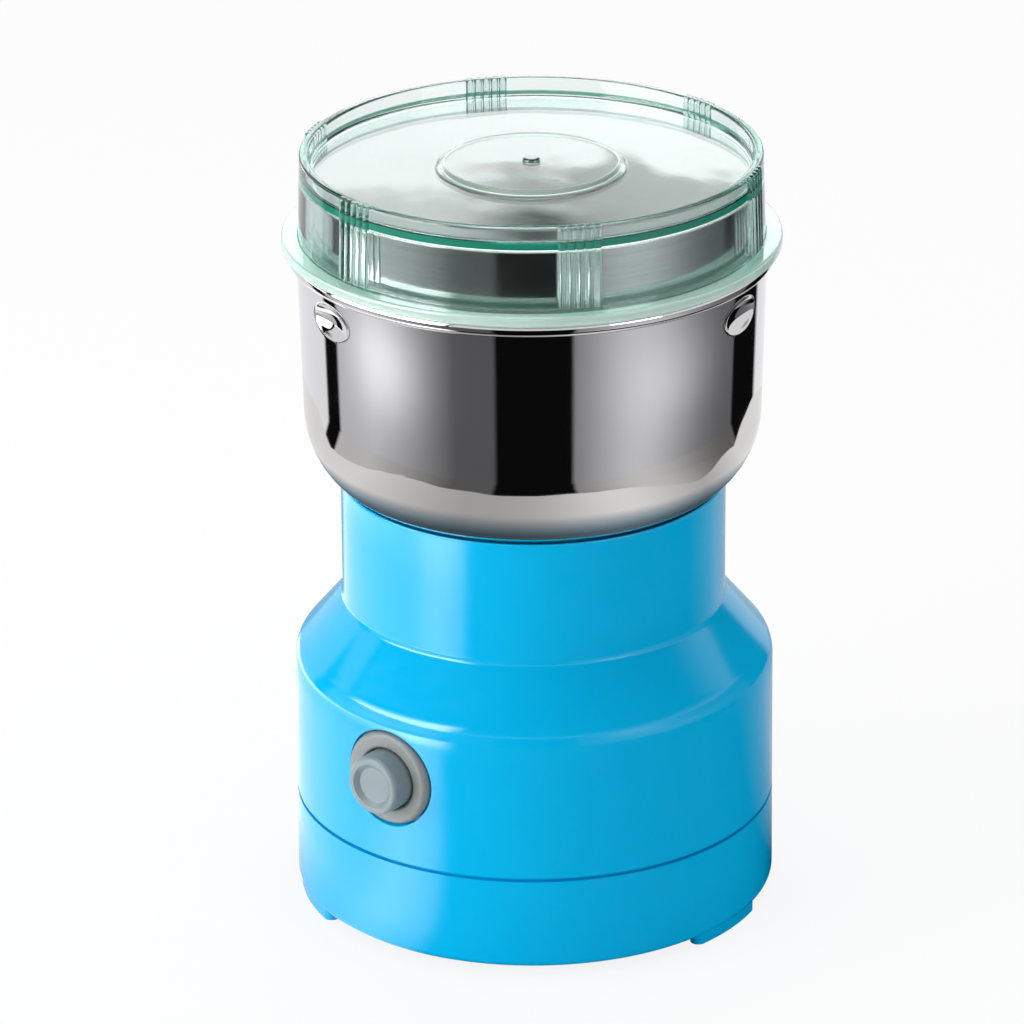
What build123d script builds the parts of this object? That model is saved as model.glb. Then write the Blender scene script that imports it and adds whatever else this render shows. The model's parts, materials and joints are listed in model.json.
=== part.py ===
from build123d import *
import os
from math import atan2, cos, degrees, hypot, radians, sin, sqrt, tan

# Electric spice grinder: a moulded body holding a hung universal motor, a drawn
# steel bowl with a four-leaf blade, a clear lid and a push button at the front.
# Millimetres, +Z up, origin on the table under the centre, front towards -Y.
# Heights build up from the feet, and the motor hangs down from the bowl's deck.
# An azimuth is in degrees round +Z from the front, positive towards +X.

os.makedirs("parts", exist_ok=True)

# ---------------------------------------------------------------- sizes: body
FOOT_HEIGHT = 2.1
FOOT_WIDTH = 3.4
FOOT_INSET = 0.6
FOOT_SPREAD = 21.5
FOOT_LEFT_AZIMUTH = -36.5
FOOT_RIGHT_AZIMUTH = 92.5
FOOT_REAR_AZIMUTH = 208.0
BASE_HEIGHT = 20.6
SIDE_HEIGHT = 33.4
SHOULDER_RISE = 12.3
NECK_HEIGHT = 24.4
NECK_LIP = 3.2
BASE_PROUD = 0.2
SIDE_DRAFT = 0.3
BASE_EDGE_ROUND = 1.5
SHOULDER_ROUND = 6.0
NECK_ROUND = 2.0
BODY_WALL = 2.5
FLOOR_THICKNESS = 2.5
DECK_THICKNESS = 3.0
SEAM_GAP = 0.6
SEAM_DEPTH = 1.1
SPIGOT_HEIGHT = 4.0
SPIGOT_WALL = 2.0
SPIGOT_CLEARANCE = 0.15
GUSSET_COUNT = 8
GUSSET_THICKNESS = 1.6
GUSSET_REACH = 5.0
GUSSET_DROP = 6.0

# ------------------------------------------------- sizes: base screws and vents
SCREW_COUNT = 3
SCREW_FIRST_AZIMUTH = 30.0
BOSS_RADIUS = 5.2
BOSS_EMBED = 1.4
SCREW_RADIUS = 2.0
SCREW_HEAD_RADIUS = 3.3
SCREW_HEAD_HEIGHT = 2.4
SCREW_GRIP = 12.0
SCREW_SEAT_DROP = 9.6
SCREW_CLEARANCE = 0.25
PILOT_CLEARANCE = 0.05
VENT_WIDTH = 2.6
INNER_VENT_COUNT = 8
INNER_VENT_START = 9.0
INNER_VENT_LENGTH = 8.0
OUTER_VENT_COUNT = 16
OUTER_VENT_START = 21.0
OUTER_VENT_LENGTH = 12.0

# ---------------------------------------------------------------- sizes: bowl
BOWL_RADIUS = 47.1
BOWL_SHEET = 0.8
BOWL_COLLAR = 14.6
SHELL_HEIGHT = 56.6
SHELL_SHEET = 0.8
SHELL_GAP = 0.9
SHELL_DRAFT = 1.45
SHELL_CORNER = 19.1
BEAD_HEIGHT = 3.0
BEAD_REACH = 2.05
BEAD_ROUND = 1.1
SEAT_CLEARANCE = 0.3
RIM_CLEARANCE = 0.25
DIMPLE_COUNT = 3
DIMPLE_FIRST_AZIMUTH = -21.0
DIMPLE_DROP = 5.8
DIMPLE_ROUND = 4.5
DIMPLE_REACH = 8.6
DIMPLE_CLEARANCE = 0.2

# ----------------------------------------------------------------- sizes: lid
LID_FLANGE_OVERHANG = 1.2
LID_FLANGE_THICKNESS = 2.2
LID_WALL = 2.0
LID_CLEARANCE = 0.8
LID_DRAFT = 0.6
LID_RIM_RISE = 5.6
LID_PLATE_THICKNESS = 1.5
LID_PLATE_CLEARANCE = 0.3
LID_BEVEL = 0.7
LID_DISC_RADIUS = 18.7
LID_DISC_RISE = 1.2
LID_DISC_SLOPE = 1.6
LID_GATE_RADIUS = 1.8
LID_GATE_HEIGHT = 0.8
GRIP_COUNT = 6
GRIP_FIRST_AZIMUTH = -11.2
GRIP_RIBS = 5
GRIP_PITCH = 2.15
GRIP_RIB_RADIUS = 0.95
GRIP_PROUD = 0.6

# --------------------------------------------------------------- sizes: motor
HUB_FLANGE_RADIUS = 13.0
HUB_FLANGE_THICKNESS = 3.0
HUB_RADIUS = 8.0
HUB_CLEARANCE = 0.15
HUB_RELIEF = 0.6
BRACKET_THICKNESS = 3.0
DAMPER_THICKNESS = 2.0
DAMPER_RADIUS = 14.0
GASKET_THICKNESS = 1.0
HUB_NUT_RADIUS = 13.0
HUB_NUT_HEIGHT = 5.0
HUB_NUT_NOTCHES = 4
HUB_NUT_NOTCH = 3.0
HUB_NUT_BEVEL = 1.2
THREAD_CLEARANCE = 0.05
HUB_PROUD = 1.0
SEAL_RADIUS = 5.8
SEAL_HEIGHT = 3.5
SEAL_LIP_HEIGHT = 1.0
SEAL_LIP_TAPER = 0.6
SEAL_RECESS = 1.0
SHAFT_RADIUS = 3.0
RUNNING_CLEARANCE = 0.05
BEARING_RADIUS = 5.5
UPPER_BEARING_LENGTH = 13.0
LOWER_BEARING_LENGTH = 8.0
BEARING_WALL = 3.0
BEARING_BEVEL = 0.4
THRUST_THICKNESS = 0.6
THRUST_RADIUS = 5.0
END_FLOAT = 0.15
FAN_HEIGHT = 8.0
FAN_PLATE = 1.4
FAN_HUB_RADIUS = 6.5
FAN_BLADES = 10
FAN_BLADE_THICKNESS = 1.2
FAN_CLEARANCE = 1.3
FAN_SWEEP_RADIUS = 15.0
FAN_SWEEP_TURN = 28.6
WINDING_OVERHANG = 9.0
WINDING_RADIUS = 13.3
WINDING_INSET = 1.2
WINDING_GAP = 1.4
STACK_HEIGHT = 20.0
STATOR_WIDTH = 58.0
STATOR_DEPTH = 46.0
STATOR_CORNER = 6.0
MOTOR_AIR_GAP = 2.2
ARMATURE_RADIUS = 14.7
ARMATURE_GAP = 0.6
ARMATURE_SLOTS = 11
SLOT_OPENING = 1.8
SLOT_TOP_WIDTH = 4.4
SLOT_ROOT_WIDTH = 2.0
SLOT_DEPTH = 6.0
SLOT_LIP = 1.0
SLOT_LINER = 0.15
POLE_WIDTH = 18.0
POLE_SHOE = 2.0
POLE_SPREAD = 52.0
YOKE_THICKNESS = 5.2
COIL_THICKNESS = 5.0
COIL_CLEARANCE = 0.3
COIL_ROUND = 3.0
POST_RADIUS = 3.5
POST_INSET_X = 6.3
POST_INSET_Y = 4.8
MOTOR_SCREW_RADIUS = 1.75
MOTOR_SCREW_HEAD_RADIUS = 3.2
MOTOR_SCREW_HEAD_HEIGHT = 2.4
MOTOR_SCREW_CLEARANCE = 0.2
COMMUTATOR_RADIUS = 10.5
COMMUTATOR_HEIGHT = 11.0
COMMUTATOR_BARS = 22
COMMUTATOR_SLIT = 0.5
COMMUTATOR_SLIT_DEPTH = 1.0
RISER_PROUD = 1.3
RISER_HEIGHT = 1.4
SHAFT_TAIL = 1.0

# -------------------------------------------------------------- sizes: brushes
BRUSH_WIDTH = 6.0
BRUSH_LENGTH = 9.0
BRUSH_CLEARANCE = 0.1
HOLDER_WALL = 0.9
HOLDER_START = 12.4
SPRING_LENGTH = 6.0
SPRING_TURNS = 4
SPRING_RADIUS = 2.1
SPRING_WIRE = 0.5

# -------------------------------------------------------------- sizes: cutting
BLADE_RADIUS = 31.0
BLADE_THICKNESS = 1.4
BLADE_WIDTH = 13.0
BLADE_TIP_WIDTH = 5.5
BLADE_ROOT = 12.0
BLADE_RISE = 8.0
BLADE_DIP = 4.0
BLADE_TWIST = 16.0
BLADE_BEVEL = 2.2
BLADE_HUB_RADIUS = 8.5
WASHER_THICKNESS = 0.8
WASHER_RADIUS = 6.2
WASHER_GAP = 0.4
FLAT_HALF = 2.3
STUD_RADIUS = 2.4
STUD_LENGTH = 5.0
NUT_HEIGHT = 6.0
NUT_FLATS = 10.0
NUT_DOME = 1.2

# -------------------------------------------------------------- sizes: button
BUTTON_RISE = 19.4
BEZEL_RADIUS = 10.5
BEZEL_PROUD = 0.3
BEZEL_BEVEL = 0.7
BEZEL_GAP = 0.4
POCKET_DEPTH = 2.2
BARREL_RADIUS = 8.5
BARREL_LENGTH = 7.5
BARREL_CLEARANCE = 0.1
CAP_RADIUS = 6.6
CAP_GAP = 0.3
CAP_PROUD = 5.0
CAP_DEPTH = 7.1
CAP_ROUND = 1.1
CAP_DISH_RADIUS = 5.0
CAP_DISH_FLOOR = 3.9
CAP_DISH_DEPTH = 1.0
STEM_RADIUS = 3.0
STEM_LENGTH = 9.5
BUTTON_TRAVEL = 3.0
STEM_END_GAP = 0.6
SWITCH_NUT_FLATS = 20.0
SWITCH_NUT_THICKNESS = 3.0
SWITCH_SIZE = 15.0
SWITCH_BEVEL = 1.2
SWITCH_DEPTH = 9.6
TERMINAL_WIDTH = 4.8
TERMINAL_THICKNESS = 0.8
TERMINAL_CLEARANCE = 4.0
TERMINAL_SPACING = 7.0

# ---------------------------------------------------------- sizes: cord inlet
INLET_RISE = 9.6
INLET_BORE = 3.3
INLET_NECK = 5.0
INLET_FLANGE = 6.6
INLET_PROUD = 3.0
INLET_INNER = 2.5
INLET_BEVEL = 1.0
INLET_CLEARANCE = 0.05

# ------------------------------------------------------------ levels from these
base_z = FOOT_HEIGHT
floor_z = base_z + FLOOR_THICKNESS
seam_z = base_z + BASE_HEIGHT
shoulder_z = seam_z + SIDE_HEIGHT
neck_z = shoulder_z + SHOULDER_RISE
bowl_z = neck_z + NECK_HEIGHT
bead_top_z = bowl_z + SHELL_HEIGHT
bead_z = bead_top_z - BEAD_HEIGHT
bowl_floor_z = bowl_z + SHELL_SHEET
bowl_inside_z = bowl_floor_z + BOWL_SHEET
bowl_rim_z = bead_top_z + BOWL_COLLAR

deck_z = bowl_z - DECK_THICKNESS
bracket_top_z = deck_z - DAMPER_THICKNESS
bracket_z = bracket_top_z - BRACKET_THICKNESS
hub_z = bracket_z - HUB_FLANGE_THICKNESS
nut_z = bowl_inside_z + GASKET_THICKNESS
hub_top_z = nut_z + HUB_NUT_HEIGHT + HUB_PROUD
fan_top_z = hub_z - THRUST_THICKNESS - 2 * END_FLOAT
fan_z = fan_top_z - FAN_HEIGHT
stack_top_z = fan_z - WINDING_GAP - WINDING_OVERHANG
stack_z = stack_top_z - STACK_HEIGHT
winding_z = stack_z - WINDING_OVERHANG
commutator_top_z = winding_z - COIL_CLEARANCE
commutator_z = commutator_top_z - COMMUTATOR_HEIGHT
lower_bearing_top_z = commutator_z - THRUST_THICKNESS - 2 * END_FLOAT
lower_bearing_z = lower_bearing_top_z - LOWER_BEARING_LENGTH
shaft_z = lower_bearing_z - SHAFT_TAIL
brush_z = commutator_z + (COMMUTATOR_HEIGHT - RISER_HEIGHT) / 2

shoulder_z_of_blade = hub_top_z + WASHER_GAP
blade_z = shoulder_z_of_blade + WASHER_THICKNESS
blade_top_z = blade_z + BLADE_THICKNESS
blade_nut_z = blade_top_z + WASHER_THICKNESS
stud_top_z = blade_nut_z + STUD_LENGTH

lid_plate_z = bowl_rim_z + LID_PLATE_CLEARANCE
lid_plate_top_z = lid_plate_z + LID_PLATE_THICKNESS
lid_top_z = bowl_rim_z + LID_RIM_RISE

button_z = seam_z + BUTTON_RISE
inlet_z = base_z + INLET_RISE
overlap = 1.0  # how far a cutting tool runs past the face it cuts

# ------------------------------------------------------ radii, from the bowl out
shell_floor_radius = BOWL_RADIUS + SHELL_GAP + SHELL_SHEET
shell_top_radius = shell_floor_radius + SHELL_DRAFT
bead_radius = shell_top_radius + BEAD_REACH
lid_inner_radius = BOWL_RADIUS + LID_CLEARANCE
lid_wall_radius = lid_inner_radius + LID_WALL
lid_flange_radius = bead_radius + LID_FLANGE_OVERHANG
base_radius = bead_radius + BASE_PROUD
shoulder_radius = base_radius - SIDE_DRAFT
neck_radius = hypot(STATOR_WIDTH, STATOR_DEPTH) / 2 + MOTOR_AIR_GAP + BODY_WALL


# ------------------------------------------------------------------ small makers
def polar(radius, azimuth, z=0.0):
    """A point at a radius and an azimuth from the front."""
    return Vector(radius * sin(radians(azimuth)), -radius * cos(radians(azimuth)), z)


def facing(radius, azimuth, z=0.0):
    """A place at a radius and azimuth, with its local X pointing outwards."""
    return Location(polar(radius, azimuth, z), (0, 0, azimuth - 90))


def disc(radius, z_low, z_high):
    """An upright round bar between two heights."""
    return Pos(0, 0, z_low) * extrude(Circle(radius), z_high - z_low)


def ring(outer, inner, z_low, z_high):
    """An upright tube between two heights."""
    return Pos(0, 0, z_low) * extrude(Circle(outer) - Circle(inner), z_high - z_low)


def turned(corners):
    """A solid of revolution from (radius, height, corner rounding) triples."""
    points = [(radius, height) for radius, height, _ in corners]
    rounds = [rounding for _, _, rounding in corners]
    outline = FilletPolyline(*points, radius=rounds, close=True)
    return revolve(Plane.XZ * make_face(outline), Axis.Z)


def front_bar(radius, y_front, y_back, z, x=0.0):
    """A round bar lying front to back, between two depths."""
    start = Plane((x, y_front, z), x_dir=(1, 0, 0), z_dir=(0, 1, 0))
    return extrude(start * Circle(radius), y_back - y_front)


def front_turned(corners, z):
    """A solid turned about the front-to-back axis, from (radius, y, rounding) triples."""
    points = [(radius, y) for radius, y, _ in corners]
    rounds = [rounding for _, _, rounding in corners]
    outline = FilletPolyline(*points, radius=rounds, close=True)
    return Pos(0, 0, z) * revolve(make_face(outline), Axis.Y)


def azimuths(count, first):
    """Equally spaced azimuths."""
    return [first + 360.0 * i / count for i in range(count)]


def save(name, *solids):
    """Write one node, a single solid or a group of like solids."""
    shape = solids[0] if len(solids) == 1 else Compound(children=list(solids))
    export_step(shape, f"parts/{name}.step")


# -------------------------------------------------------------------- the bowl
def shell_corners(grow=0.0):
    """The outer skin's outside, from the axis up to under the bead."""
    return [
        (shell_floor_radius + grow, bowl_z, SHELL_CORNER),
        (shell_top_radius + grow, bead_z, 0.0),
    ]


def shell_radius(z):
    """The outer skin's radius on its tapered wall."""
    share = (z - bowl_z) / (bead_z - bowl_z)
    return shell_floor_radius + share * (shell_top_radius - shell_floor_radius)


def dimple_tool(grow):
    """An egg lying across the wall at each dimple, which presses it inwards."""
    z = bead_z - DIMPLE_DROP
    depth = shell_radius(z) - SHELL_SHEET - BOWL_RADIUS - DIMPLE_CLEARANCE
    centre = shell_radius(z) - depth + DIMPLE_ROUND
    outline = Ellipse(DIMPLE_REACH + grow, DIMPLE_ROUND + grow)
    half = outline & Pos(0, DIMPLE_REACH) * Rectangle(4 * DIMPLE_REACH, 2 * DIMPLE_REACH)
    egg = Rot(0, 0, 90) * revolve(half, Axis.X)
    places = azimuths(DIMPLE_COUNT, DIMPLE_FIRST_AZIMUTH)
    return [facing(centre, azimuth, z) * egg for azimuth in places]


def make_bowl_shell():
    """The polished outer skin, its rolled bead and the three dimples that grip the bowl."""
    t = SHELL_SHEET
    outside = turned(
        [
            (0, bowl_z, 0),
            *shell_corners(),
            (bead_radius, bead_z, BEAD_ROUND),
            (bead_radius, bead_top_z, BEAD_ROUND),
            (0, bead_top_z, 0),
        ]
    )
    inside = turned(
        [
            (0, bowl_z + t, 0),
            (shell_floor_radius - t, bowl_z + t, SHELL_CORNER - t),
            (shell_top_radius - t, bead_z + t, 0),
            (bead_radius - t, bead_z + t, 0),
            (bead_radius - t, bead_top_z - t, 0),
            (0, bead_top_z - t, 0),
        ]
    )
    outside -= dimple_tool(0.0)
    inside -= dimple_tool(t)
    mouth = disc(BOWL_RADIUS + RIM_CLEARANCE, bead_z, bead_top_z + overlap)
    eye = disc(HUB_RADIUS + HUB_CLEARANCE, bowl_z - overlap, bowl_inside_z)
    return outside - inside - mouth - eye


def make_bowl():
    """The deep drawn cup that holds the spices, standing in the outer skin."""
    t = BOWL_SHEET
    corner = SHELL_CORNER - SHELL_SHEET
    return turned(
        [
            (HUB_RADIUS + HUB_CLEARANCE, bowl_floor_z, 0),
            (BOWL_RADIUS, bowl_floor_z, corner),
            (BOWL_RADIUS, bowl_rim_z, 0),
            (BOWL_RADIUS - t, bowl_rim_z, 0),
            (BOWL_RADIUS - t, bowl_inside_z, corner - t),
            (HUB_RADIUS + HUB_CLEARANCE, bowl_inside_z, 0),
        ]
    )


# --------------------------------------------------------------------- the lid
def grip_rib():
    """One upright half-round rib, leaning with the wall's draft."""
    length = lid_top_z - LID_BEVEL - bead_top_z - LID_FLANGE_THICKNESS / 2
    lean = degrees(atan2(LID_DRAFT, lid_top_z - bead_top_z))
    centre = lid_wall_radius - LID_DRAFT / 2 + GRIP_PROUD - GRIP_RIB_RADIUS
    middle = lid_top_z - LID_BEVEL - length / 2
    rib = Rot(0, -lean, 0) * Cylinder(GRIP_RIB_RADIUS, length)
    return Pos(centre, 0, middle) * rib


def make_lid():
    """The clear lid: a flange on the bead, a ribbed wall and a sunk top plate."""
    low = bead_top_z
    flange_top = low + LID_FLANGE_THICKNESS
    top_radius = lid_wall_radius - LID_DRAFT
    body = turned(
        [
            (0, low, 0),
            (lid_flange_radius, low, 0),
            (lid_flange_radius, flange_top - LID_BEVEL, 0),
            (lid_flange_radius - LID_BEVEL, flange_top, 0),
            (lid_wall_radius, flange_top, 0),
            (top_radius, lid_top_z - LID_BEVEL, 0),
            (top_radius - LID_BEVEL, lid_top_z, 0),
            (top_radius - LID_WALL + LID_BEVEL, lid_top_z, 0),
            (top_radius - LID_WALL, lid_top_z - LID_BEVEL, 0),
            (top_radius - LID_WALL, lid_plate_top_z, 0),
            (LID_DISC_RADIUS + LID_DISC_SLOPE, lid_plate_top_z, 0),
            (LID_DISC_RADIUS, lid_plate_top_z + LID_DISC_RISE, 0),
            (0, lid_plate_top_z + LID_DISC_RISE, 0),
        ]
    )
    hollow = turned(
        [
            (0, low - overlap, 0),
            (lid_inner_radius, low - overlap, 0),
            (lid_inner_radius, lid_plate_z, 0),
            (LID_DISC_RADIUS + LID_DISC_SLOPE, lid_plate_z, 0),
            (LID_DISC_RADIUS, lid_plate_z + LID_DISC_RISE, 0),
            (0, lid_plate_z + LID_DISC_RISE, 0),
        ]
    )
    gate_z = lid_plate_top_z + LID_DISC_RISE
    body += disc(LID_GATE_RADIUS, gate_z - LID_GATE_HEIGHT / 2, gate_z + LID_GATE_HEIGHT)
    middle = (GRIP_RIBS - 1) / 2
    ribs = [
        Rot(0, 0, azimuth - 90 + (i - middle) * GRIP_PITCH) * grip_rib()
        for azimuth in azimuths(GRIP_COUNT, GRIP_FIRST_AZIMUTH)
        for i in range(GRIP_RIBS)
    ]
    keep = disc(top_radius - LID_WALL / 2, low - overlap, lid_top_z + overlap)
    ribs = [rib - keep for rib in ribs]
    return body + ribs - hollow


# ----------------------------------------------------------------- the housing
def side_radius(z):
    """The body's outside radius on its slightly tapered side."""
    share = (z - base_z) / (shoulder_z - base_z)
    return base_radius + share * (shoulder_radius - base_radius)


def boss_places():
    """Where the base screws stand, part sunk into the side wall."""
    radius = side_radius(seam_z) - BODY_WALL - BOSS_RADIUS + BOSS_EMBED
    places = azimuths(SCREW_COUNT, SCREW_FIRST_AZIMUTH)
    return [Pos(polar(radius, azimuth)) for azimuth in places]


def seam_groove():
    """The narrow step that parts the housing from the base cover."""
    half = SEAM_GAP / 2
    outer = side_radius(seam_z)
    return ring(outer + overlap, outer - SEAM_DEPTH, seam_z - half, seam_z + half)


def body_outside():
    """The housing's outside as one filled solid."""
    lip_z = bowl_z + NECK_LIP
    return turned(
        [
            (0, seam_z, 0),
            (side_radius(seam_z), seam_z, 0),
            (shoulder_radius, shoulder_z, SHOULDER_ROUND),
            (neck_radius, neck_z, NECK_ROUND),
            (neck_radius, lip_z, 0),
            (0, lip_z, 0),
        ]
    )


def make_housing():
    """The one-piece moulded body with its bowl seat, deck, bosses and button pocket."""
    t = BODY_WALL
    turn = atan2(shoulder_radius - neck_radius, SHOULDER_RISE)
    drop = t * tan(turn / 2)
    filled = body_outside()
    hollow = turned(
        [
            (0, seam_z - overlap, 0),
            (side_radius(seam_z) - t, seam_z - overlap, 0),
            (shoulder_radius - t, shoulder_z - drop, 0),
            (neck_radius - t, neck_z - drop, 0),
            (neck_radius - t, deck_z, 0),
            (0, deck_z, 0),
        ]
    )
    seat = turned(
        [
            (0, bowl_z, 0),
            *shell_corners(SEAT_CLEARANCE),
            (0, bead_z, 0),
        ]
    )
    pad_y, _, cap_face, _ = button_levels()
    pad = front_bar(BEZEL_RADIUS + BODY_WALL, cap_face, pad_y + t, button_z)
    columns = [
        place * disc(BOSS_RADIUS, seam_z, neck_z) for place in boss_places()
    ]
    gusset_outline = Polyline(
        (neck_radius - t - GUSSET_REACH, deck_z),
        (neck_radius - t, deck_z - GUSSET_DROP),
        (neck_radius - t / 2, deck_z - GUSSET_DROP),
        (neck_radius - t / 2, deck_z + DECK_THICKNESS / 2),
        (neck_radius - t - GUSSET_REACH, deck_z + DECK_THICKNESS / 2),
        close=True,
    )
    gusset = extrude(Plane.XZ * make_face(gusset_outline), GUSSET_THICKNESS / 2, both=True)
    gussets = [Rot(0, 0, azimuth) * gusset for azimuth in azimuths(GUSSET_COUNT, 0.0)]
    body = filled - hollow
    body += (pad & filled)
    body += [column & filled for column in columns]
    body += gussets
    pocket = front_bar(BEZEL_RADIUS + BEZEL_GAP, cap_face, pad_y, button_z)
    port = front_bar(BARREL_RADIUS + BARREL_CLEARANCE, pad_y - overlap, pad_y + 2 * t, button_z)
    pilots = [
        place * disc(SCREW_RADIUS + PILOT_CLEARANCE, seam_z - overlap, seam_z + SCREW_GRIP + overlap)
        for place in boss_places()
    ]
    eye = disc(HUB_RADIUS + HUB_CLEARANCE, deck_z - overlap, bowl_z + overlap)
    return body - seat - pocket - port - pilots - eye - seam_groove()


# -------------------------------------------------------------- the base cover
def base_outside(grow=0.0):
    """The base cover's outside as one filled solid, up to the seam."""
    return turned(
        [
            (0, base_z, 0),
            (base_radius + grow, base_z, BASE_EDGE_ROUND),
            (side_radius(seam_z) + grow, seam_z, 0),
            (0, seam_z, 0),
        ]
    )


def vents(count, start, length):
    """Cutting tools for one ring of slots in the floor."""
    slot = extrude(Rectangle(length, VENT_WIDTH), FLOOR_THICKNESS + 2 * overlap)
    slot = Pos(start + length / 2, 0, base_z - overlap) * slot
    return [Rot(0, 0, azimuth) * slot for azimuth in azimuths(count, 0.0)]


def make_base_cover():
    """The cup that closes the body: floor vents, screw tubes, spigot and three feet."""
    t = BODY_WALL
    filled = base_outside()
    inner = side_radius(seam_z) - t
    hollow = disc(inner, floor_z, seam_z + overlap)
    spigot_outer = inner - SPIGOT_CLEARANCE
    spigot_inner = spigot_outer - SPIGOT_WALL
    body = filled - hollow
    body += ring(inner + t / 2, spigot_inner, seam_z - SPIGOT_HEIGHT, seam_z)
    spigot = ring(spigot_outer, spigot_inner, seam_z, seam_z + SPIGOT_HEIGHT)
    tubes = [place * disc(BOSS_RADIUS, floor_z - t / 2, seam_z) for place in boss_places()]
    body += spigot - [
        place * disc(BOSS_RADIUS + SPIGOT_CLEARANCE, seam_z, seam_z + SPIGOT_HEIGHT + overlap)
        for place in boss_places()
    ]
    body += [tube & filled for tube in tubes]
    seat_z = seam_z - SCREW_SEAT_DROP
    heads = [
        place * disc(SCREW_HEAD_RADIUS + SCREW_CLEARANCE, base_z - overlap, seat_z)
        for place in boss_places()
    ]
    shanks = [
        place * disc(SCREW_RADIUS + SCREW_CLEARANCE, seat_z - overlap, seam_z + overlap)
        for place in boss_places()
    ]
    foot_radius = base_radius - FOOT_INSET - FOOT_WIDTH / 2
    foot_arc = CenterArc((0, 0), foot_radius, -90 - FOOT_SPREAD / 2, FOOT_SPREAD)
    foot = extrude(SlotArc(foot_arc, FOOT_WIDTH), base_z + FLOOR_THICKNESS / 2)
    feet = (FOOT_LEFT_AZIMUTH, FOOT_RIGHT_AZIMUTH, FOOT_REAR_AZIMUTH)
    body += [Rot(0, 0, azimuth) * foot for azimuth in feet]
    slots = vents(INNER_VENT_COUNT, INNER_VENT_START, INNER_VENT_LENGTH)
    slots += vents(OUTER_VENT_COUNT, OUTER_VENT_START, OUTER_VENT_LENGTH)
    inlet = front_bar(INLET_NECK + INLET_CLEARANCE, inner - t, base_radius + INLET_PROUD, inlet_z)
    return body - heads - shanks - slots - inlet - seam_groove()


def make_base_screws():
    """The three long self-tapping screws that hold the base cover on."""
    seat_z = seam_z - SCREW_SEAT_DROP
    screw = turned(
        [
            (0, seat_z - SCREW_HEAD_HEIGHT, 0),
            (SCREW_HEAD_RADIUS, seat_z - SCREW_HEAD_HEIGHT, 0),
            (SCREW_HEAD_RADIUS, seat_z, 0),
            (SCREW_RADIUS, seat_z, 0),
            (SCREW_RADIUS, seam_z + SCREW_GRIP - SCREW_RADIUS, 0),
            (0, seam_z + SCREW_GRIP, 0),
        ]
    )
    return [place * screw for place in boss_places()]


def make_cord_inlet():
    """The rubber bush in the rear wall that a mains cord passes through."""
    inner = side_radius(seam_z) - BODY_WALL
    reach = base_radius + INLET_PROUD
    nose = front_turned(
        [
            (INLET_BORE, inner, 0),
            (INLET_FLANGE, inner, 0),
            (INLET_FLANGE, reach - INLET_BEVEL, 0),
            (INLET_FLANGE - INLET_BEVEL, reach, 0),
            (INLET_BORE, reach, 0),
        ],
        inlet_z,
    )
    neck = front_turned(
        [
            (INLET_BORE, inner - INLET_INNER, 0),
            (INLET_NECK, inner - INLET_INNER, 0),
            (INLET_NECK, reach - INLET_BEVEL, 0),
            (INLET_BORE, reach - INLET_BEVEL, 0),
        ],
        inlet_z,
    )
    lock = front_turned(
        [
            (INLET_BORE, inner - INLET_INNER, 0),
            (INLET_FLANGE, inner - INLET_INNER, 0),
            (INLET_FLANGE, inner, 0),
            (INLET_BORE, inner, 0),
        ],
        inlet_z,
    )
    wall_inside = disc(inner - INLET_CLEARANCE, base_z, seam_z)
    return (nose - base_outside(INLET_CLEARANCE)) + neck + (lock & wall_inside)


# --------------------------------------------------- what clamps bowl and motor
def make_hub():
    """The turned hub: its flange carries the motor, its neck clamps deck and bowl."""
    bearing_top = hub_z + UPPER_BEARING_LENGTH
    seal_z = hub_top_z - SEAL_HEIGHT
    return turned(
        [
            (BEARING_RADIUS, hub_z, 0),
            (HUB_FLANGE_RADIUS, hub_z, 0),
            (HUB_FLANGE_RADIUS, bracket_z, 0),
            (HUB_RADIUS, bracket_z, 0),
            (HUB_RADIUS, hub_top_z, 0),
            (SEAL_RADIUS, hub_top_z, 0),
            (SEAL_RADIUS, seal_z, 0),
            (SHAFT_RADIUS + HUB_RELIEF, seal_z, 0),
            (SHAFT_RADIUS + HUB_RELIEF, bearing_top, 0),
            (BEARING_RADIUS, bearing_top, 0),
        ]
    )


def make_hub_nut():
    """The notched ring nut inside the bowl."""
    nut = turned(
        [
            (HUB_RADIUS + THREAD_CLEARANCE, nut_z, 0),
            (HUB_NUT_RADIUS, nut_z, 0),
            (HUB_NUT_RADIUS, nut_z + HUB_NUT_HEIGHT - HUB_NUT_BEVEL, 0),
            (HUB_NUT_RADIUS - HUB_NUT_BEVEL, nut_z + HUB_NUT_HEIGHT, 0),
            (HUB_RADIUS + THREAD_CLEARANCE, nut_z + HUB_NUT_HEIGHT, 0),
        ]
    )
    notch = Pos(HUB_NUT_RADIUS, 0, nut_z + HUB_NUT_HEIGHT / 2) * Box(
        HUB_NUT_NOTCH, HUB_NUT_NOTCH, HUB_NUT_HEIGHT + overlap
    )
    return nut - [Rot(0, 0, azimuth) * notch for azimuth in azimuths(HUB_NUT_NOTCHES, 45.0)]


def make_shaft_seal():
    """The rubber lip seal round the shaft at the top of the hub."""
    seal_z = hub_top_z - SEAL_HEIGHT
    lip = SHAFT_RADIUS + RUNNING_CLEARANCE
    return turned(
        [
            (SHAFT_RADIUS + SEAL_RECESS, seal_z, 0),
            (SEAL_RADIUS, seal_z, 0),
            (SEAL_RADIUS, hub_top_z, 0),
            (lip, hub_top_z, 0),
            (lip, hub_top_z - SEAL_LIP_HEIGHT, 0),
            (SHAFT_RADIUS + SEAL_RECESS, hub_top_z - SEAL_LIP_HEIGHT - SEAL_LIP_TAPER, 0),
        ]
    )


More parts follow.
